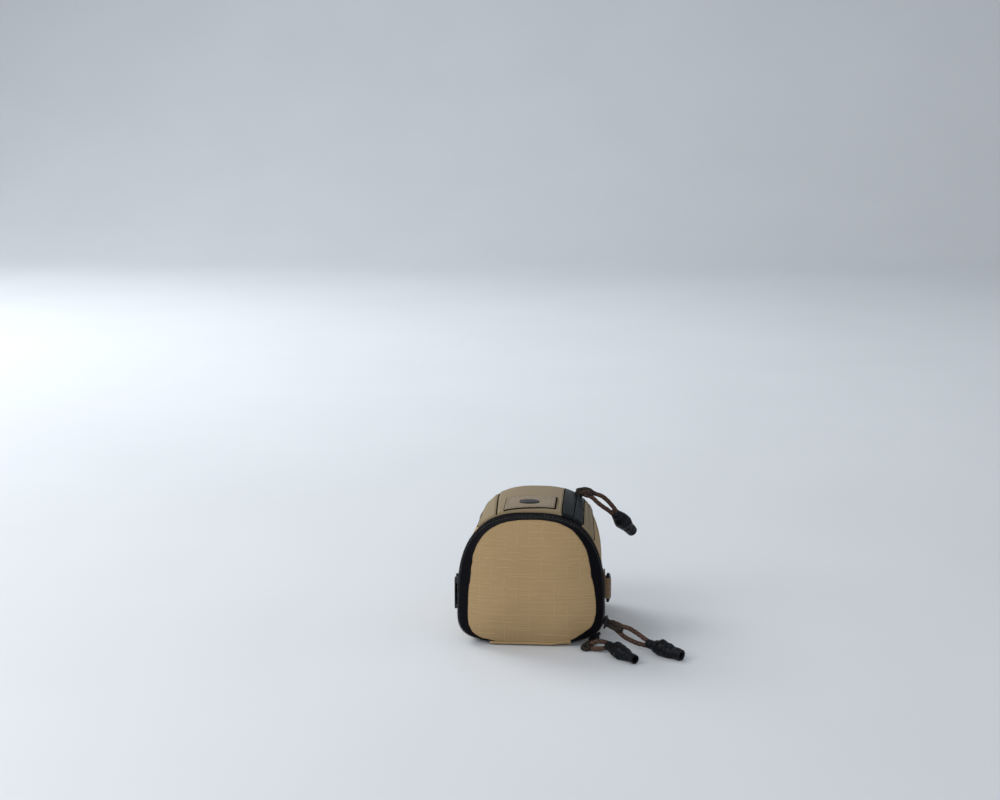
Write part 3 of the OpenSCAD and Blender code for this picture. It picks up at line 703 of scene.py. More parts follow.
def smooth_path(points, step):
    """A curve through the points, cut into equal steps."""
    p = [Vector(q) for q in points]
    p = [2 * p[0] - p[1]] + p + [2 * p[-1] - p[-2]]
    fine = []
    for i in range(1, len(p) - 2):
        for k in range(24):
            t = k / 24
            fine.append(0.5 * (2 * p[i] + (p[i + 1] - p[i - 1]) * t
                + (2 * p[i - 1] - 5 * p[i] + 4 * p[i + 1] - p[i + 2]) * t * t
                + (3 * p[i] - 3 * p[i + 1] + p[i + 2] - p[i - 1]) * t**3))
    fine.append(p[-2])
    length = sum((b - a).length for a, b in zip(fine, fine[1:]))
    count = max(2, round(length / step))
    path, walked, k = [fine[0]], 0.0, 0
    for i in range(1, count):
        goal = length * i / count
        while walked + (fine[k + 1] - fine[k]).length < goal:
            walked += (fine[k + 1] - fine[k]).length
            k += 1
        path.append(fine[k].lerp(fine[k + 1], (goal - walked) / (fine[k + 1] - fine[k]).length))
    return path + [fine[-1]], length


def braided(name, path, diameter, material):
    """A mesh cord with the low relief of its braid, and unrolled coordinates for its colours."""
    sides = 20
    rows = tube(path, diameter / 2, sides)
    step = (path[1] - path[0]).length / BRAID_TURN
    for i, row in enumerate(rows):
        centre = sum(row, Vector()) / sides
        for j, p in enumerate(row):
            around, along = 4 * j / sides, i * step
            relief = max(math.sin(2 * math.pi * (around + along)), math.sin(2 * math.pi * (around - along)))
            row[j] = centre + (p - centre) * (0.97 + 0.05 * relief)
    mesh = new_mesh(name, closed(rows))
    unrolled = mesh.uv_layers.new(name="unrolled")
    for polygon in mesh.polygons:
        columns = [v % sides for v in polygon.vertices]
        wraps = len(columns) == 4 and max(columns) - min(columns) > 1
        for loop, v, column in zip(polygon.loop_indices, polygon.vertices, columns):
            u = 1 if wraps and column == 0 else column / sides
            unrolled.data[loop].uv = (u, v // sides * step)
    mesh.shade_smooth()
    mesh.materials.append(MATERIALS[material])
    return placed(name, mesh)


def make_cord(key):
    path, length = smooth_path(ROUTES[key], CORD_STEP)
    made = braided("cord_" + key, path, CORD_DRAWN, "cord_brown")
    return piece(made, "pull_" + key, "cord_brown", "pull_cord_" + key), path, length


SLEEVE_FORMS = {
    # Radii by share of the length, then lumps: share, angle, height, length and width of each
    "a": ([(0, 4.0), (0.03, 4.25), (0.15, 4.3), (0.28, 6.1), (0.42, 7.2), (0.56, 7.3), (0.68, 6.4),
            (0.8, 5.5), (1, 5.3)],
        [(0.43, 85, 1.7, 0.09, 42), (0.3, 215, 0.9, 0.07, 40), (0.64, 130, 0.8, 0.05, 35),
            (0.6, 20, 0.9, 0.05, 30), (0.24, 30, 0.6, 0.05, 30), (0.86, 60, 0.4, 0.05, 40)]),
    "b": ([(0, 4.6), (0.03, 4.8), (0.18, 4.9), (0.32, 6.8), (0.48, 7.2), (0.6, 6.3), (0.72, 5.0),
            (0.86, 4.3), (1, 4.2)],
        [(0.32, 95, 1.2, 0.08, 45), (0.54, 60, 1.2, 0.06, 35), (0.68, 140, 0.8, 0.05, 30),
            (0.5, 350, 0.8, 0.06, 30), (0.2, 20, 0.6, 0.05, 30)]),
    "front": ([(0, 4.2), (0.03, 4.4), (0.16, 5.2), (0.34, 7.1), (0.52, 7.6), (0.64, 6.8), (0.78, 5.7),
            (1, 5.3)],
        [(0.44, 205, 1.6, 0.1, 45), (0.2, 190, 0.7, 0.06, 40), (0.56, 20, 0.8, 0.07, 35),
            (0.72, 330, 0.6, 0.05, 30), (0.34, 290, 0.6, 0.06, 30)]),
}
TAIL_HOLE_R = 2.9
FLOOR_GAP = 0.12


def make_sleeve(key):
    """Heat-shrink over the cord's ends: a snug mouth, lumps over the knot, and a round open tail."""
    start, end = (Vector(p) for p in SLEEVES[key])
    profile, lumps = SLEEVE_FORMS[key]
    seed = start.x
    along = (end - start).normalized()
    side = along.cross(UP).normalized()
    up = side.cross(along)
    count = 48

    def lump(t, angle):
        height = 0
        for place, turn, tall, reach, wide in lumps:
            off = (angle - turn + 180) % 360 - 180
            height += tall * bell(t - place, reach) * bell(off, wide)
        return height

    rows = []
    for t in spread(0, 1, 76):
        centre = mix(start, end, t)
        bite = min(1, 8 * t, 8 * (1 - t) + 0.25)
        row = []
        for angle, way in zip(full_turn(count), ring(Vector(), side, up, count)):
            p = centre + way * between(profile, t)
            crease = 0.5 * ripple(p, 4.5, seed) + 0.22 * ripple(p, 2.1, seed + 2)
            row.append(p + way * (lump(t, angle) + crease * bite))
        rows.append(row)
    for t, r in ((1.0, TAIL_HOLE_R + 0.3), (0.985, TAIL_HOLE_R), (0.86, TAIL_HOLE_R - 0.5)):
        rows.append(ring(mix(start, end, t), side * r, up * r, count))
    rows = [[Vector((p.x, p.y, max(p.z, FLOOR_GAP))) for p in row] for row in rows]
    return make_piece("sleeve_" + key, closed(rows), "pull_" + key, "sleeve_black", "pull_sleeve_" + key)


LOOPS = {
    "a": [(72, 12.5, 20), (74.5, 11, 21.5), (78, 8.5, 22), (81.5, 5.5, 20.5), (84.5, 3, 18.5),
        (85, 1.5, 17), (82, 3, 16.5), (78.5, 6, 17.5), (74.5, 9, 18.5)],
    "b": [(56, -2.5, 3.5), (53, -3.5, 3.5), (50.5, -6.5, 3), (50, -10, 2.5), (52.5, -12.5, 2.5),
        (55.5, -11, 3), (54.5, -7.5, 4), (56.5, -4.5, 3.5)],
    "front": [(39.5, 124.5, 121.5), (42.5, 123.5, 122.5), (47, 122, 123.5), (51.5, 120.5, 122.5),
        (54, 119.5, 120.5), (52, 118.5, 119), (48, 118.5, 118.5), (43.5, 119.5, 119.5),
        (40.5, 121.5, 120)],
}


def make_hitch(key):
    """The bight of the girth hitch: two legs from the ring's bar, and a bridge over both strands; its braid
    is the cord's in darker colours, as painted shade.
    """
    loop = LOOPS[key]
    path, _ = smooth_path(loop + loop[:3], CORD_STEP)
    lap = round(len(path) / (len(loop) + 2))
    # Darker braid for painted shade on the hitch
    made = braided("hitch_" + key, path[lap // 2:-lap // 2], HITCH_DRAWN, "hitch_brown")
    return piece(made, "pull_" + key, "cord_brown")


for key in ROUTES:
    cord, path, length = make_cord(key)
    sleeve = make_sleeve(key)
    hitch = make_hitch(key)

# ---- Body ----

AROUND = 168


def shell_form(phi, y, d):
    """The shell's face with the slack of sewn cloth: it sags a little between its seams."""
    p = skin(phi, y, d)
    n = (skin(phi, y, d + 1) - p).normalized()
    free = ease((y - SHELL_Y) / 12)
    slack = 0.55 * ripple(p, 26, 2.0) + 0.22 * ripple(p, 9, 4.0)
    held = 0 if p.z < CHEST_T - d + 0.6 else 1
    return p + n * slack * free * held


def end_arc(r, n):
    """Places along Y round a bend of radius r at the bottom end."""
    return [END_Y + r * math.sin(math.radians(90 * i / n)) for i in range(1, n)]


def make_shell():
    """Ripstop cover with its rounded bottom end, one closed skin."""
    phis = full_turn(AROUND)
    inner = [[skin(phi, y, -SHELL_T) for phi in phis] for y in spread(SHELL_Y, END_Y, 6)]
    ys = spread(SHELL_Y, END_Y, 44) + end_arc(END_R, 14)
    outer = [[shell_form(phi, y, 0) for phi in phis] for y in ys]
    last = [skin(phi, BODY_L - 0.02, 0) for phi in phis]
    cap = [[raised(END_MID.lerp(Vector((p.x, p.z)), s), BODY_L + 0.6 * (1 - s * s)) for p in last]
        for s in (0.8, 0.6, 0.4, 0.2, 0.05)]
    rows = inner[::-1] + outer + [last] + cap
    make_piece("shell_cover", quads(rows, True, (len(rows) - 1,)), "pack", "ripstop_tan",
        "outer_shell", "bottom_end_panel", smooth_deg=40)


def make_lining():
    """Smooth lining over the padding, turned out at the mouth; it stands for the padding as well."""
    phis = full_turn(96)

    def soft(phi, y):
        p = skin(phi, y, LINING_D - 0.8)
        n = (skin(phi, y, LINING_D) - p).normalized()
        return p + n * (0.5 * ripple(p, 22, 7.0)) * ease((y - MOUTH_Y) / 10)

    lip = ((2.4, TAPE_LO - 0.8), (0.3, TAPE_LO - 0.6), (-0.6, (TAPE_LO + LINING_D) / 2))
    rows = [[skin(phi, MOUTH_Y + y, d) for phi in phis] for y, d in lip]
    ys = spread(MOUTH_Y, END_Y, 24) + end_arc(END_R + LINING_D, 8)
    rows += [[soft(phi, y) for phi in phis] for y in ys]
    rows.append([mix(p, Vector((END_MID.x, p.y, END_MID.y)), 0.02) for p in rows[-1]])
    make_piece("lining", quads(rows, True, (len(rows) - 1,)), "pack", "lining", "inner_lining", "shell_foam",
        smooth_deg=40)


def make_chest_pad():
    """Spacer-mesh pad on the side that rests on the chest, with its corners cut and two sewn channels."""
    low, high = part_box("chest_panel")
    w, y0, y1 = high.x / MM, low.y / MM - EDGE_Y, high.y / MM - EDGE_Y
    cut = 12
    mid = (y0 + y1) / 2

    def inside(x, y):
        """How far in from the pad's edge a place is."""
        corner = (w + (y1 - y0) / 2 - cut - abs(x) - abs(y - mid)) / math.sqrt(2)
        return min(w - abs(x), y - y0, y1 - y, corner)

    xs, ys = spread(-w, w, 60), spread(y0, y1, 90)
    top, bottom = [], []
    for y in ys:
        row, flat = [], []
        for x in xs:
            reach = inside(x, y)
            back = max(0, -reach) / math.sqrt(2)
            px, py = x - math.copysign(back, x), y - math.copysign(back, y - mid)
            crown = ease(max(0, reach) / 5)
            channel = min(1, abs(abs(x) - 16) / 1.5)
            row.append(Vector((px, py, 2.45)))
            flat.append(Vector((px, py, 0.02 + 1.2 * (1 - crown) + 0.7 * (1 - channel) * crown)))
        top.append(row)
        bottom.append(flat)
    make_piece("chest_pad", slab(top, bottom), "pack", "mesh_black", "chest_panel", smooth_deg=40)


make_shell()
make_lining()
make_chest_pad()

# ---- Front pocket over the top ----

PANEL_LEFT = -50.0


def strip_edge(side, y):
    """The coated zip's left or right edge, which leans towards the patch on its way to the bottom end."""
    far = (y - PANEL_NEAR) / (PANEL_FAR - PANEL_NEAR)
    return STRIP_X - 10 - 2 * far if side < 0 else STRIP_X + 8 - 3 * far


def dart_x(y):
    return -32.5 - 0.05 * (y - PANEL_NEAR)


def panel_right(y):
    return 57.5 - 6 * (y - PANEL_NEAR) / (PANEL_FAR - PANEL_NEAR)


def over_top(grid, high, low):
    """A sheet over the top at a grid of places (x, y); high and low give its two faces' heights."""
    return slab(*[[[on_top(x, y, face(x, y)) for x, y in row] for row in grid] for face in (high, low)])


def rows_across(ys, xs_at):
    return [[(x, y) for x in xs_at(y)] for y in ys]


def rolled(reach, r):
    """From 0 at an edge to 1 at r in from it, as cloth rolls over."""
    return math.sqrt(1 - (1 - min(1, max(0, reach) / r)) ** 2)


def make_panel(name, node, xs_at, free_x):
    """Part of the panel over the top: full in the middle, rolled over at its free edges, with a sewn dart."""

    def high(x, y):
        to_edge = min(y - PANEL_NEAR, PANEL_FAR - y, abs(x - free_x(y)))
        p = on_top(x, y, 0)
        puff = 0.35 * ripple(p, 24, 11.0) + 0.18 * ripple(p, 8, 12.0)
        off = abs(x - dart_x(y))
        dart = 1.5 * bell(off, 0.9) - 0.35 * bell(off - 2.6, 1.5)
        return 0.5 + (PANEL_T - 0.5) * (0.25 + 0.75 * rolled(to_edge, 2.4)) + puff * ease(to_edge / 6) - dart

    form = over_top(rows_across(spread(PANEL_NEAR, PANEL_FAR, 100), xs_at), high, lambda x, y: 0.3)
    make_piece(name, form, "pack", "ripstop_top", node)


def make_coated_tape(side):
    """One half of the coated zip: it laps the panel's edge and rolls down a little at the groove."""
    lip = STRIP_X + side * 0.35

    def seam_x(y):
        return strip_edge(side, y) + side * 0.4

    def high(x, y):
        drop = 0.9 * fade(abs(x - lip), 0.7) + 0.35 * fade(abs(x - seam_x(y)), 0.6)
        return PANEL_T + 0.25 - drop - 2.0 * fade(max(0, y - PANEL_NEAR + 0.6), 1.2)

    ys = spread(PANEL_NEAR - 0.6, PANEL_FAR - 1, 90)
    grid = rows_across(ys, lambda y: sorted(spread(lip, seam_x(y), 18)))
    name = "left" if side < 0 else "right"
    form = over_top(grid, high, lambda x, y: high(x, y) - 0.5)
    make_piece("coated_tape_" + name, form, "pack", "coated_slate", "front_zip_tape_" + name)


def make_strip_backing():
    """The coil's own tape, black under the groove and out to the band."""
    grid = rows_across(spread(PANEL_NEAR - 2.2, PANEL_FAR - 1, 60),
        lambda y: spread(strip_edge(-1, y) + 0.8, strip_edge(1, y) - 0.8, 16))
    make_piece("strip_backing", over_top(grid, lambda x, y: 1.0, lambda x, y: 0.35), "pack", "zip_black")


def coil_loops(axis, across, up, turns, width, height, wire):
    """A flattened coil along an axis: functions of the share of the way give its place and directions."""
    per_turn = 12
    path = []
    for i in range(turns * per_turn + 1):
        t = i / (turns * per_turn)
        a = 2 * math.pi * i / per_turn
        path.append(axis(t) + across(t) * width / 2 * math.cos(a) + up(t) * height / 2 * math.sin(a))
    return closed(tube(path, wire, 5))


def make_front_coil():
    parts = []
    for side in (-1, 1):
        parts.append(coil_loops(
            lambda t: on_top(STRIP_X + side * 1.5, mix(PANEL_NEAR, PANEL_FAR - 2, t), 1.75), lambda t: RIGHT,
            lambda t: up_from_top(STRIP_X, mix(PANEL_NEAR, PANEL_FAR, t)),
            turns=76, width=1.6, height=0.9, wire=0.22))
    make_piece("pocket_coil", merge(parts), "pack", "coil_black", "front_zip_coil", smooth_deg=40)


PATCH_LEFT, PATCH_RIGHT = -25.5, 20.5


def patch_ends(x):
    """The patch's near and far edges at a place across."""
    share = (x - PATCH_LEFT) / (PATCH_RIGHT - PATCH_LEFT)
    return 20 + 5 * share, 60 + 2 * share


def patch_corners(inset=0):
    """The patch's corners, or places in from them: far left, near left, near right and far right."""
    corners = []
    for x, side, ends in ((PATCH_LEFT, 1, (1, 0)), (PATCH_RIGHT, -1, (0, 1))):
        corners += [(x + side * inset, patch_ends(x)[end] + inset * (1, -1)[end]) for end in ends]
    return corners


def make_patch():
    """Loop-pile patch, a little crooked, with a raised bound edge."""

    def high(x, y):
        near, far = patch_ends(x)
        share = (y - near) / (far - near)
        reach = min(x - PATCH_LEFT, PATCH_RIGHT - x, share * 40, (1 - share) * 40)
        p = on_top(x, y, 0)
        edge = 1.35 * (0.35 + 0.65 * rolled(reach, 0.9)) - 0.3 * bell(reach - 2.4, 0.5)
        return PANEL_T + 0.3 + edge + 0.1 * ripple(p, 2.2, 21.0) + 0.12 * ripple(p, 12, 3.0)

    xs = spread(PATCH_LEFT, PATCH_RIGHT, 70)
    grid = [[(x, mix(*patch_ends(x), share)) for x in xs] for share in spread(0, 1, 60)]
    make_piece("patch", over_top(grid, high, lambda x, y: PANEL_T - 0.3), "pack", "loop_pile", "loop_patch")


# Share of the badge's half width and height over the patch, from its foot to its middle
BADGE_FORM = ((1, -0.3), (1, 0.5), (0.985, 0.85), (0.95, 1.05), (0.9, 1.0), (0.86, 0.85), (0.8, 0.95),
    (0.6, 1.55), (0.4, 1.95), (0.2, 2.15), (0.05, 2.2))


def make_badge():
    """Plain domed oval with a rolled rim."""
    low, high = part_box("patch_badge")
    mid, half = (low + high) / 2 / MM, (high - low) / 2 / MM
    base = on_top(mid.x, mid.y - EDGE_Y, PANEL_T + 1.35)
    rows = [ring(base + UP * z, RIGHT * k * half.x, AWAY * k * half.y, 64) for k, z in BADGE_FORM]
    make_piece("badge", closed(rows), "pack", "badge_black", "patch_badge", smooth_deg=50)


make_panel("pocket_panel", "front_panel", lambda y: spread(PANEL_LEFT, strip_edge(-1, y), 130),
    lambda y: PANEL_LEFT)
make_panel("pocket_edge", "front_panel_edge", lambda y: spread(strip_edge(1, y), panel_right(y), 22),
    panel_right)
for side in (-1, 1):
    make_coated_tape(side)
make_front_coil()
make_strip_backing()
make_patch()
make_badge()

# ---- Zip chain round the lid ----

COIL_TURNS = 210
COIL_OFF = GROOVE / 2 + COIL_W / 2 - 0.3
BAND_NEAR, BAND_FLARED = 0.4, 7.5
BINDING_R, BINDING_HALF_W = 1.05, 1.3


def make_chain_coil(name, y, body, node):
    def frame_at(t):
        return rim(mix(-FOOT_PHI, 180 + FOOT_PHI, t), RIM_Y)

    def axis(t):
        p, n = frame_at(t)
        return raised(p + n * (COIL_LO + COIL_HI) / 2, y)

    form = coil_loops(axis, lambda t: AWAY, lambda t: raised(frame_at(t)[1], 0),
        turns=COIL_TURNS, width=COIL_W - 0.5, height=COIL_HI - COIL_LO - 0.7, wire=0.36)
    make_piece(name, form, body, "coil_black", node, smooth_deg=40)


def band_place(phi, y, d):
    t = ease((y - BAND_NEAR) / (BAND_FLARED - BAND_NEAR))
    flat = lid_edge(phi, 0.8 + d * 0.4) * (1 - t) + chain_point(phi, COIL_LO + 0.25 + d) * t
    return raised(flat, y - 0.55 * fade(y - BAND_NEAR, 1.2))


def make_lid_band():
    """The zip tape's lid side: bound to the lid's edge, flaring out to the chain."""
    ys = spread(BAND_NEAR, CHAIN_MID - GROOVE / 2, 16)
    top, low = ([[band_place(phi, y, d) for y in ys] for phi in chain_phis(220)] for d in (0, -0.75))
    make_piece("lid_band", slab(top, low), "lid", "zip_black", "lid_zip_tape")


def make_body_tape():
    """The zip tape's pack side: under the coil, then in under the shell's edge."""
    near = CHAIN_MID + GROOVE / 2

    def row(phi, d):
        return [raised(chain_point(phi, d), y) for y in spread(near, near + COIL_W, 3)] + [
            skin(phi, y, d - 0.25 * ease((y - 15.6) / 3)) for y in spread(SHELL_Y - 0.9, MOUTH_Y, 5)]

    top, low = ([row(phi, d) for phi in chain_phis(220)] for d in (COIL_LO + 0.1, TAPE_LO))
    make_piece("body_tape", slab(top, low), "pack", "zip_black", "body_zip_tape")


def make_shell_binding():
    """A narrow bound edge where the shell meets the zip tape."""
    rows = []
    for phi in chain_phis(220):
        p = skin(phi, SHELL_Y, -0.7)
        n = (skin(phi, SHELL_Y, 0.3) - p).normalized()
        rows.append(ring(p, n * BINDING_R, AWAY * BINDING_HALF_W, 10))
    make_piece("shell_binding", closed(rows), "pack", "zip_black")


make_chain_coil("coil_lid", CHAIN_MID - COIL_OFF, "lid", "lid_zip_coil")
make_chain_coil("coil_body", CHAIN_MID + COIL_OFF, "pack", "body_zip_coil")
make_lid_band()
make_body_tape()
make_shell_binding()

# ---- Lid ----

COVER_FULL = 1.016
COVER_BACK = ((0.982, 2.0), (0.955, 2.8), (0.88, 3.2), (0.6, 3.2), (0.2, 3.2))
PUCKERS, PUCKER_DEPTH = 46, 0.16
FOAM_DEPTH = 5.8
HINGE_NEAR, HINGE_FAR = -0.9, 17.5


def lid_place(phi, s, depth):
    """A point of the lid's face: s is the share of the way out, depth how far behind the domed face."""
    flat = LID_MID + (lid_edge(phi, 0) - LID_MID) * s
    return raised(flat, depth - LID_DOME * (1 - s**LID_BULGE))


def trim_to_edge(made, d):
    """Draws in what the swelling pushed past the lid's outline, so that its seam is one clean line."""
    ring = []
    for k in range(720):
        way = lid_edge(k / 2, d) - LID_MID
        ring.append((math.atan2(way.y, way.x), way.length))
    ring.sort()
    ring = [(ring[-1][0] - 2 * math.pi, ring[-1][1])] + ring + [(ring[0][0] + 2 * math.pi, ring[0][1])]
    angles = [a for a, _ in ring]
    for v in made.data.vertices:
        way = Vector((v.co.x / MM, v.co.z / MM)) - LID_MID
        angle = math.atan2(way.y, way.x)
        j = max(1, bisect.bisect_left(angles, angle))
        share = (angle - angles[j - 1]) / max(angles[j] - angles[j - 1], 1e-9)
        reach = mix(ring[j - 1][1], ring[j][1], share)
        if way.length > reach:
            flat = LID_MID + way.normalized() * reach
            v.co.x, v.co.z = flat.x * MM, flat.y * MM


def make_lid_cover():
    """The lid's ripstop face, full like a pillow, puckered a little along its seam."""
    phis = full_turn(200)
    rows = []
    for s in [math.sin(math.radians(90 * i / 34)) for i in range(1, 35)]:
        row = []
        for phi in phis:
            p = lid_place(phi, s * COVER_FULL, 0)
            near_seam = ease((s - 0.8) / 0.2)
            wave = math.sin(phi * math.pi / 180 * PUCKERS + 2 * ripple(p, 30, 3.0))
            pucker = PUCKER_DEPTH * wave * near_seam * (1 - near_seam) * 4
            slack = 0.5 * ripple(p, 30, 5.0) + 0.2 * ripple(p, 11, 6.0)
            row.append(p - AWAY * (slack * (1 - s**6) + pucker))
        rows.append(row)
    rows += [[lid_place(phi, s * COVER_FULL, depth) for phi in phis] for s, depth in COVER_BACK]
    made = make_object("lid_cover", closed(rows), "ripstop_tan", 40)
    seam = at(lid_place(0, 1, -0.3)).y
    fill_out(made, voxel=2.0, pressure=4.0, cap=2.0, held=lambda p: p.y > seam)
    trim_to_edge(made, 0.15)
    piece(made, "lid", "ripstop_tan", "lid_panel")


def make_lid_lining():
    """The lid's padded inner side, with a flange that closes the gap to the zip tape."""
    phis = full_turn(120)
    form = [(s, LID_SKIN + 0.3) for s in (0.3, 0.6, 0.85, 0.95)]
    form += [(0.97, 3.0), (1.006, 3.2), (1.006, 4.2), (0.985, 5.6), (0.965, 5.9)]
    rows = [[lid_place(phi, s, depth) for phi in phis] for s, depth in form]
    for s in [math.cos(math.radians(90 * i / 16)) * 0.95 for i in range(1, 16)]:
        row = [lid_place(phi, s, LID_SKIN + FOAM_DEPTH) for phi in phis]
        rows.append([p + AWAY * 0.6 * ripple(p, 20, 9.0) for p in row])
    made = make_object("lid_lining_pad", closed(rows), "lining")
    piece(made, "lid", "lining", "lid_foam", "lid_lining")


def make_hinge_cloth():
    """The tan strip under the lid that stays sewn when the zip is open."""
    low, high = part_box("lid_hinge_strip")
    w = (high.x - low.x) / 2 / MM + 3
    top, under = [], []
    for y in spread(HINGE_NEAR, HINGE_FAR, 34):
        fold = 1 - ease((y - HINGE_NEAR) / 3)
        sag = 1.4 + 1.2 * (1 - ease((y - 1) / 7))
        row = []
        for x in spread(-w, w, 60):
            lift = 3.6 * ease((x - 20) / (w - 20)) * fold
            row.append(Vector((x, y, sag + lift + 0.15 * ripple(Vector((x, y, 0)), 9, 2.0))))
        lip = 0.8 * math.sqrt(fold * (1.02 - fold)) * 2
        top.append([p + UP * (0.5 + lip) for p in row])
        under.append([p - UP * (0.4 + lip) for p in row])
    made = make_object("hinge_cloth", slab(top, under), "ripstop_tan")
    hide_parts("lid_hinge_strip")
    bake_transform(made)


make_lid_cover()
make_lid_lining()
make_hinge_cloth()

# ---- Side fittings ----

WEBBING_W, FITTING_Z, STRAP_T = 20.0, 42.0, 1.5
BAR_R, STRAP_GAP = 1.5, 0.15


def make_strap(name, side, bar_x, bar_y, node):
    """Webbing doubled over a bar: in along the pack's side, round the bar and back."""
    r = BAR_R + 0.25 + STRAP_T / 2
    inner = [(half_w(y) + STRAP_GAP + STRAP_T / 2, y) for y in spread(bar_y + 32, bar_y + 6, 10)]
    turns = spread(math.radians(150), math.radians(400), 22)
    loop = [(bar_x + r * math.cos(a), bar_y + r * math.sin(a)) for a in turns]
    outer = [(half_w(y) + STRAP_GAP + STRAP_T * 1.5, y) for y in spread(bar_y + 9, bar_y + 32, 10)]
    line, _ = smooth_path([(x, y, 0) for x, y in inner + loop + outer], 0.9)
    top, low = [], []
    for i, p in enumerate(line):
        out = direction(line, i).cross(UP) * STRAP_T / 2
        for rows, sign in ((top, 1), (low, -1)):
            row = []
            for z in spread(-WEBBING_W / 2, WEBBING_W / 2, 20):
                q = p + out * sign * (1 - 0.35 * (abs(z) / 10) ** 8)
                row.append(Vector((side * q.x, q.y, FITTING_Z + z)))
            rows.append(row)
    make_piece(name, slab(top, low), "pack", "webbing_tan", node)


make_strap("strap_right", 1, 71.2, 56, "webbing_tab_right")
make_strap("strap_left", -1, 70, 50, "webbing_tab_left")

# ---- CAD nodes that stay, with their finishes ----


def finish_node(node, slot, bevel=None):
    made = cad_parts[node]
    made.data.materials.clear()
    made.data.materials.append(MATERIALS[slot])
    if bevel:
        modifier = made.modifiers.new("edges", "BEVEL")
        modifier.width = bevel * MM
        modifier.segments = 2
        modifier.limit_method = "ANGLE"
        modifier.angle_limit = math.radians(40)


for node in ("slider_a", "slider_b", "slider_front", "pull_ring_a", "pull_ring_b", "pull_ring_front",
        "zip_end_stops"):
    finish_node(node, "metal_black", 0.25)
finish_node("tab_ring", "metal_black")
finish_node("side_buckle", "plastic_black", 0.3)

# ---- Stitching and painted fold shade ----

FOLD_R = 0.6
STRIP_SEAM, PANEL_SEAM, PATCH_SEAM = 2.6, 3, 2.4


def stitch_run(name, material, body, slot, runs):
    form = merge([stitches(line, lifts) for line, lifts in runs])
    piece(make_object(name, form, material, 40), body, slot)


def crease(name, runs, slot):
    """Thin dark lines of painted shade that lie in sewn folds and beside edges, along runs of points."""
    form = merge([closed(tube(run, FOLD_R, 6)) for run in runs])
    piece(make_object(name, form, "thread_dark", 80), "pack", slot)


def seam(points, d):
    """A line over the top with its lifts, through places across and along."""
    return [on_top(x, y, d) for x, y in points], [up_from_top(x, y) for x, y in points]


def make_stitching():
    """The seams along the panel's edges and round the patch."""
    ys = spread(PANEL_NEAR + 2, PANEL_FAR - 2, 60)
    runs = [seam([(strip_edge(side, y) + side * STRIP_SEAM, y) for y in ys], PANEL_T + 0.1)
        for side in (-1, 1)]
    for x_at in (lambda y: PANEL_LEFT + PANEL_SEAM, lambda y: panel_right(y) - PANEL_SEAM,
            lambda y: dart_x(y) + PANEL_SEAM):
        runs.append(seam([(x_at(y), y) for y in ys], PANEL_T))
    stitch_run("panel_stitching", "thread_tan", "pack", "ripstop_top", runs)
    far_left, near_left, near_right, far_right = patch_corners(PATCH_SEAM)
    corners = [near_left, near_right, far_right, far_left, near_left]
    around = []
    for (x0, y0), (x1, y1) in zip(corners, corners[1:]):
        around += [(mix(x0, x1, t), mix(y0, y1, t)) for t in spread(0, 1, 12)]
    stitch_run("patch_stitching", "thread_tan", "pack", "loop_pile", [seam(around, PANEL_T + 1.45)])


def make_fold_shade():
    """Painted shade: the dark lines round the patch, which are partly its dark backing edge, and in the
    panel's edges and dart.
    """
    corners = patch_corners()
    runs = []
    for (x0, y0), (x1, y1) in zip(corners, corners[1:]):
        runs.append([on_top(mix(x0, x1, t), mix(y0, y1, t), PANEL_T + 0.5) for t in spread(0, 1, 24)])
    # A second line of painted shadow beside the patch's right edge
    near, far = patch_ends(PATCH_RIGHT)
    runs.append([on_top(PATCH_RIGHT + 0.5, y, PANEL_T + 0.45)
        for y in spread(near + 0.4, far, 24)])
    crease("patch_backing_and_shadow", runs, "loop_pile")
    # Painted shade in the dart, along the panel's right and left edges, and beside both edges of the coated
    # strip
    runs = []
    for x_at, d in ((dart_x, PANEL_T - 0.8), (lambda y: panel_right(y) - 0.1, 1.75),
            (lambda y: strip_edge(-1, y) - 0.5, PANEL_T - 0.1),
            (lambda y: strip_edge(1, y) + 0.5, PANEL_T - 0.1), (lambda y: PANEL_LEFT + 0.1, 1.7)):
        runs.append([on_top(x_at(y), y, d) for y in spread(PANEL_NEAR + 0.5, PANEL_FAR - 1, 70)])
    # Painted shade in the notch where the panel's left edge folds
    near, far = 46, 76
    runs.append([on_top(PANEL_LEFT + 0.5, y, 2.05 + 0.3 * math.sin(math.pi * (y - near) / (far - near)))
        for y in spread(near, far, 20)])
    crease("panel_fold_shade", runs, "ripstop_top")


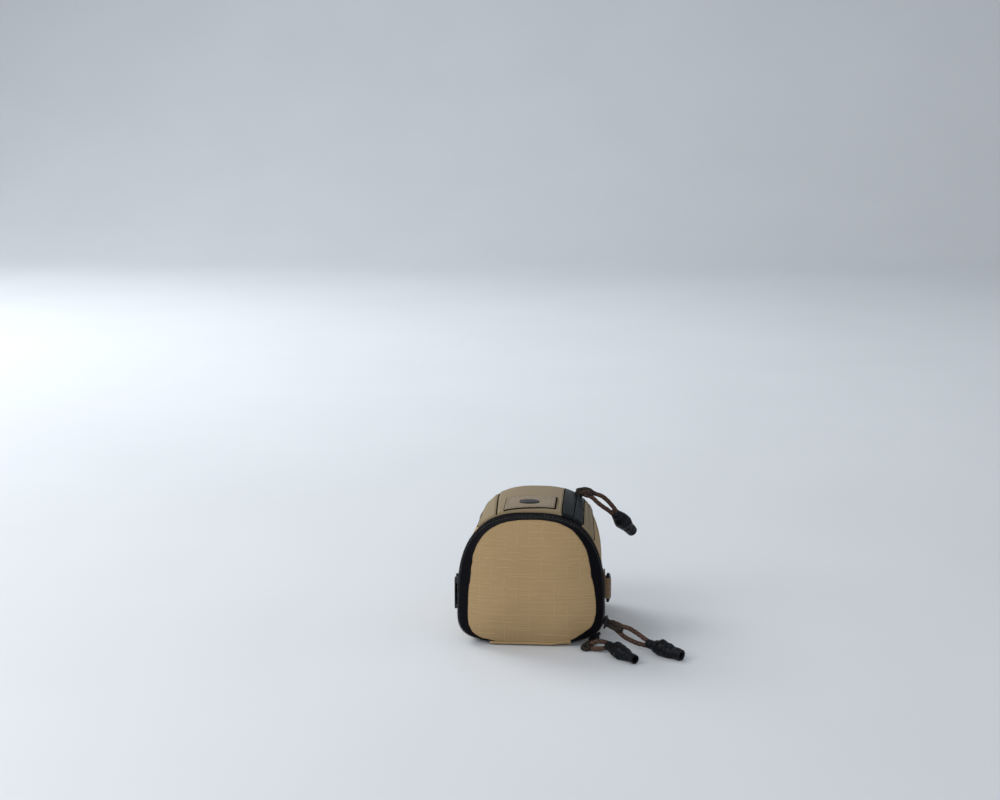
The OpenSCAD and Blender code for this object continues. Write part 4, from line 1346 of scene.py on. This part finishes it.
def make_band_stitching():
    phis = chain_phis(240)
    line = [band_place(phi, 8.2, 0.05) for phi in phis]
    lifts = [raised(chain_point(phi, 1) - chain_point(phi, 0), 0) for phi in phis]
    stitch_run("band_stitching", "thread_black", "lid", "zip_black", [(line, lifts)])


make_stitching()
make_fold_shade()
make_band_stitching()

# ---- Stage and light ----


def make_stage():
    """A pale floor that turns up into a wall far behind."""
    bend_y, bend_r, reach, wall = 3200, 1500, 9000, 5000
    profile = [(-reach, 0), (bend_y, 0)]
    for a in (math.radians(90 * i / 16) for i in range(1, 17)):
        profile.append((bend_y + bend_r * math.sin(a), bend_r * (1 - math.cos(a))))
    profile.append((bend_y + bend_r, wall))
    floor = make_object("floor", quads([[Vector((x, y, z)) for x in (-reach, reach)] for y, z in profile]),
        "floor", 80)
    for polygon in floor.data.polygons:
        if polygon.normal.z < 0:
            polygon.flip()


def add_light(name, place, target, size, power, colour):
    """A rectangular light; places and sizes are in metres and the power is in watts."""
    data = bpy.data.lights.new(name, "AREA")
    data.shape = "RECTANGLE"
    data.size, data.size_y = size
    data.energy = power
    data.color = colour
    light = placed(name, data)
    light.location = place
    aim(light, Vector(target) - Vector(place))


def make_light():
    world = bpy.data.worlds.new("studio")
    world.use_nodes = True
    background = world.node_tree.nodes["Background"].inputs
    background["Color"].default_value = (0.90, 0.94, 1.0, 1)
    background["Strength"].default_value = 0.51
    bpy.context.scene.world = world
    add_light("key", (-1.3, -0.85, 1.2), (0, 0, 0.05), (1.0, 1.0), 13.5, (1.0, 0.985, 0.97))
    add_light("front", (0.0, -2.5, 1.0), (0, 0, 0.05), (1.5, 1.2), 13, (0.98, 0.99, 1.0))
    add_light("rear", (-0.1, 1.9, 1.9), (0, 1.7, 0), (1.5, 1.5), 4.5, (0.97, 0.985, 1.0))
    add_light("back", (-1.9, 1.6, 1.8), (-0.9, 1.5, 0), (1.6, 1.6), 60, (0.97, 0.985, 1.0))
    bpy.context.scene.view_settings.view_transform = "Standard"


make_stage()
make_light()
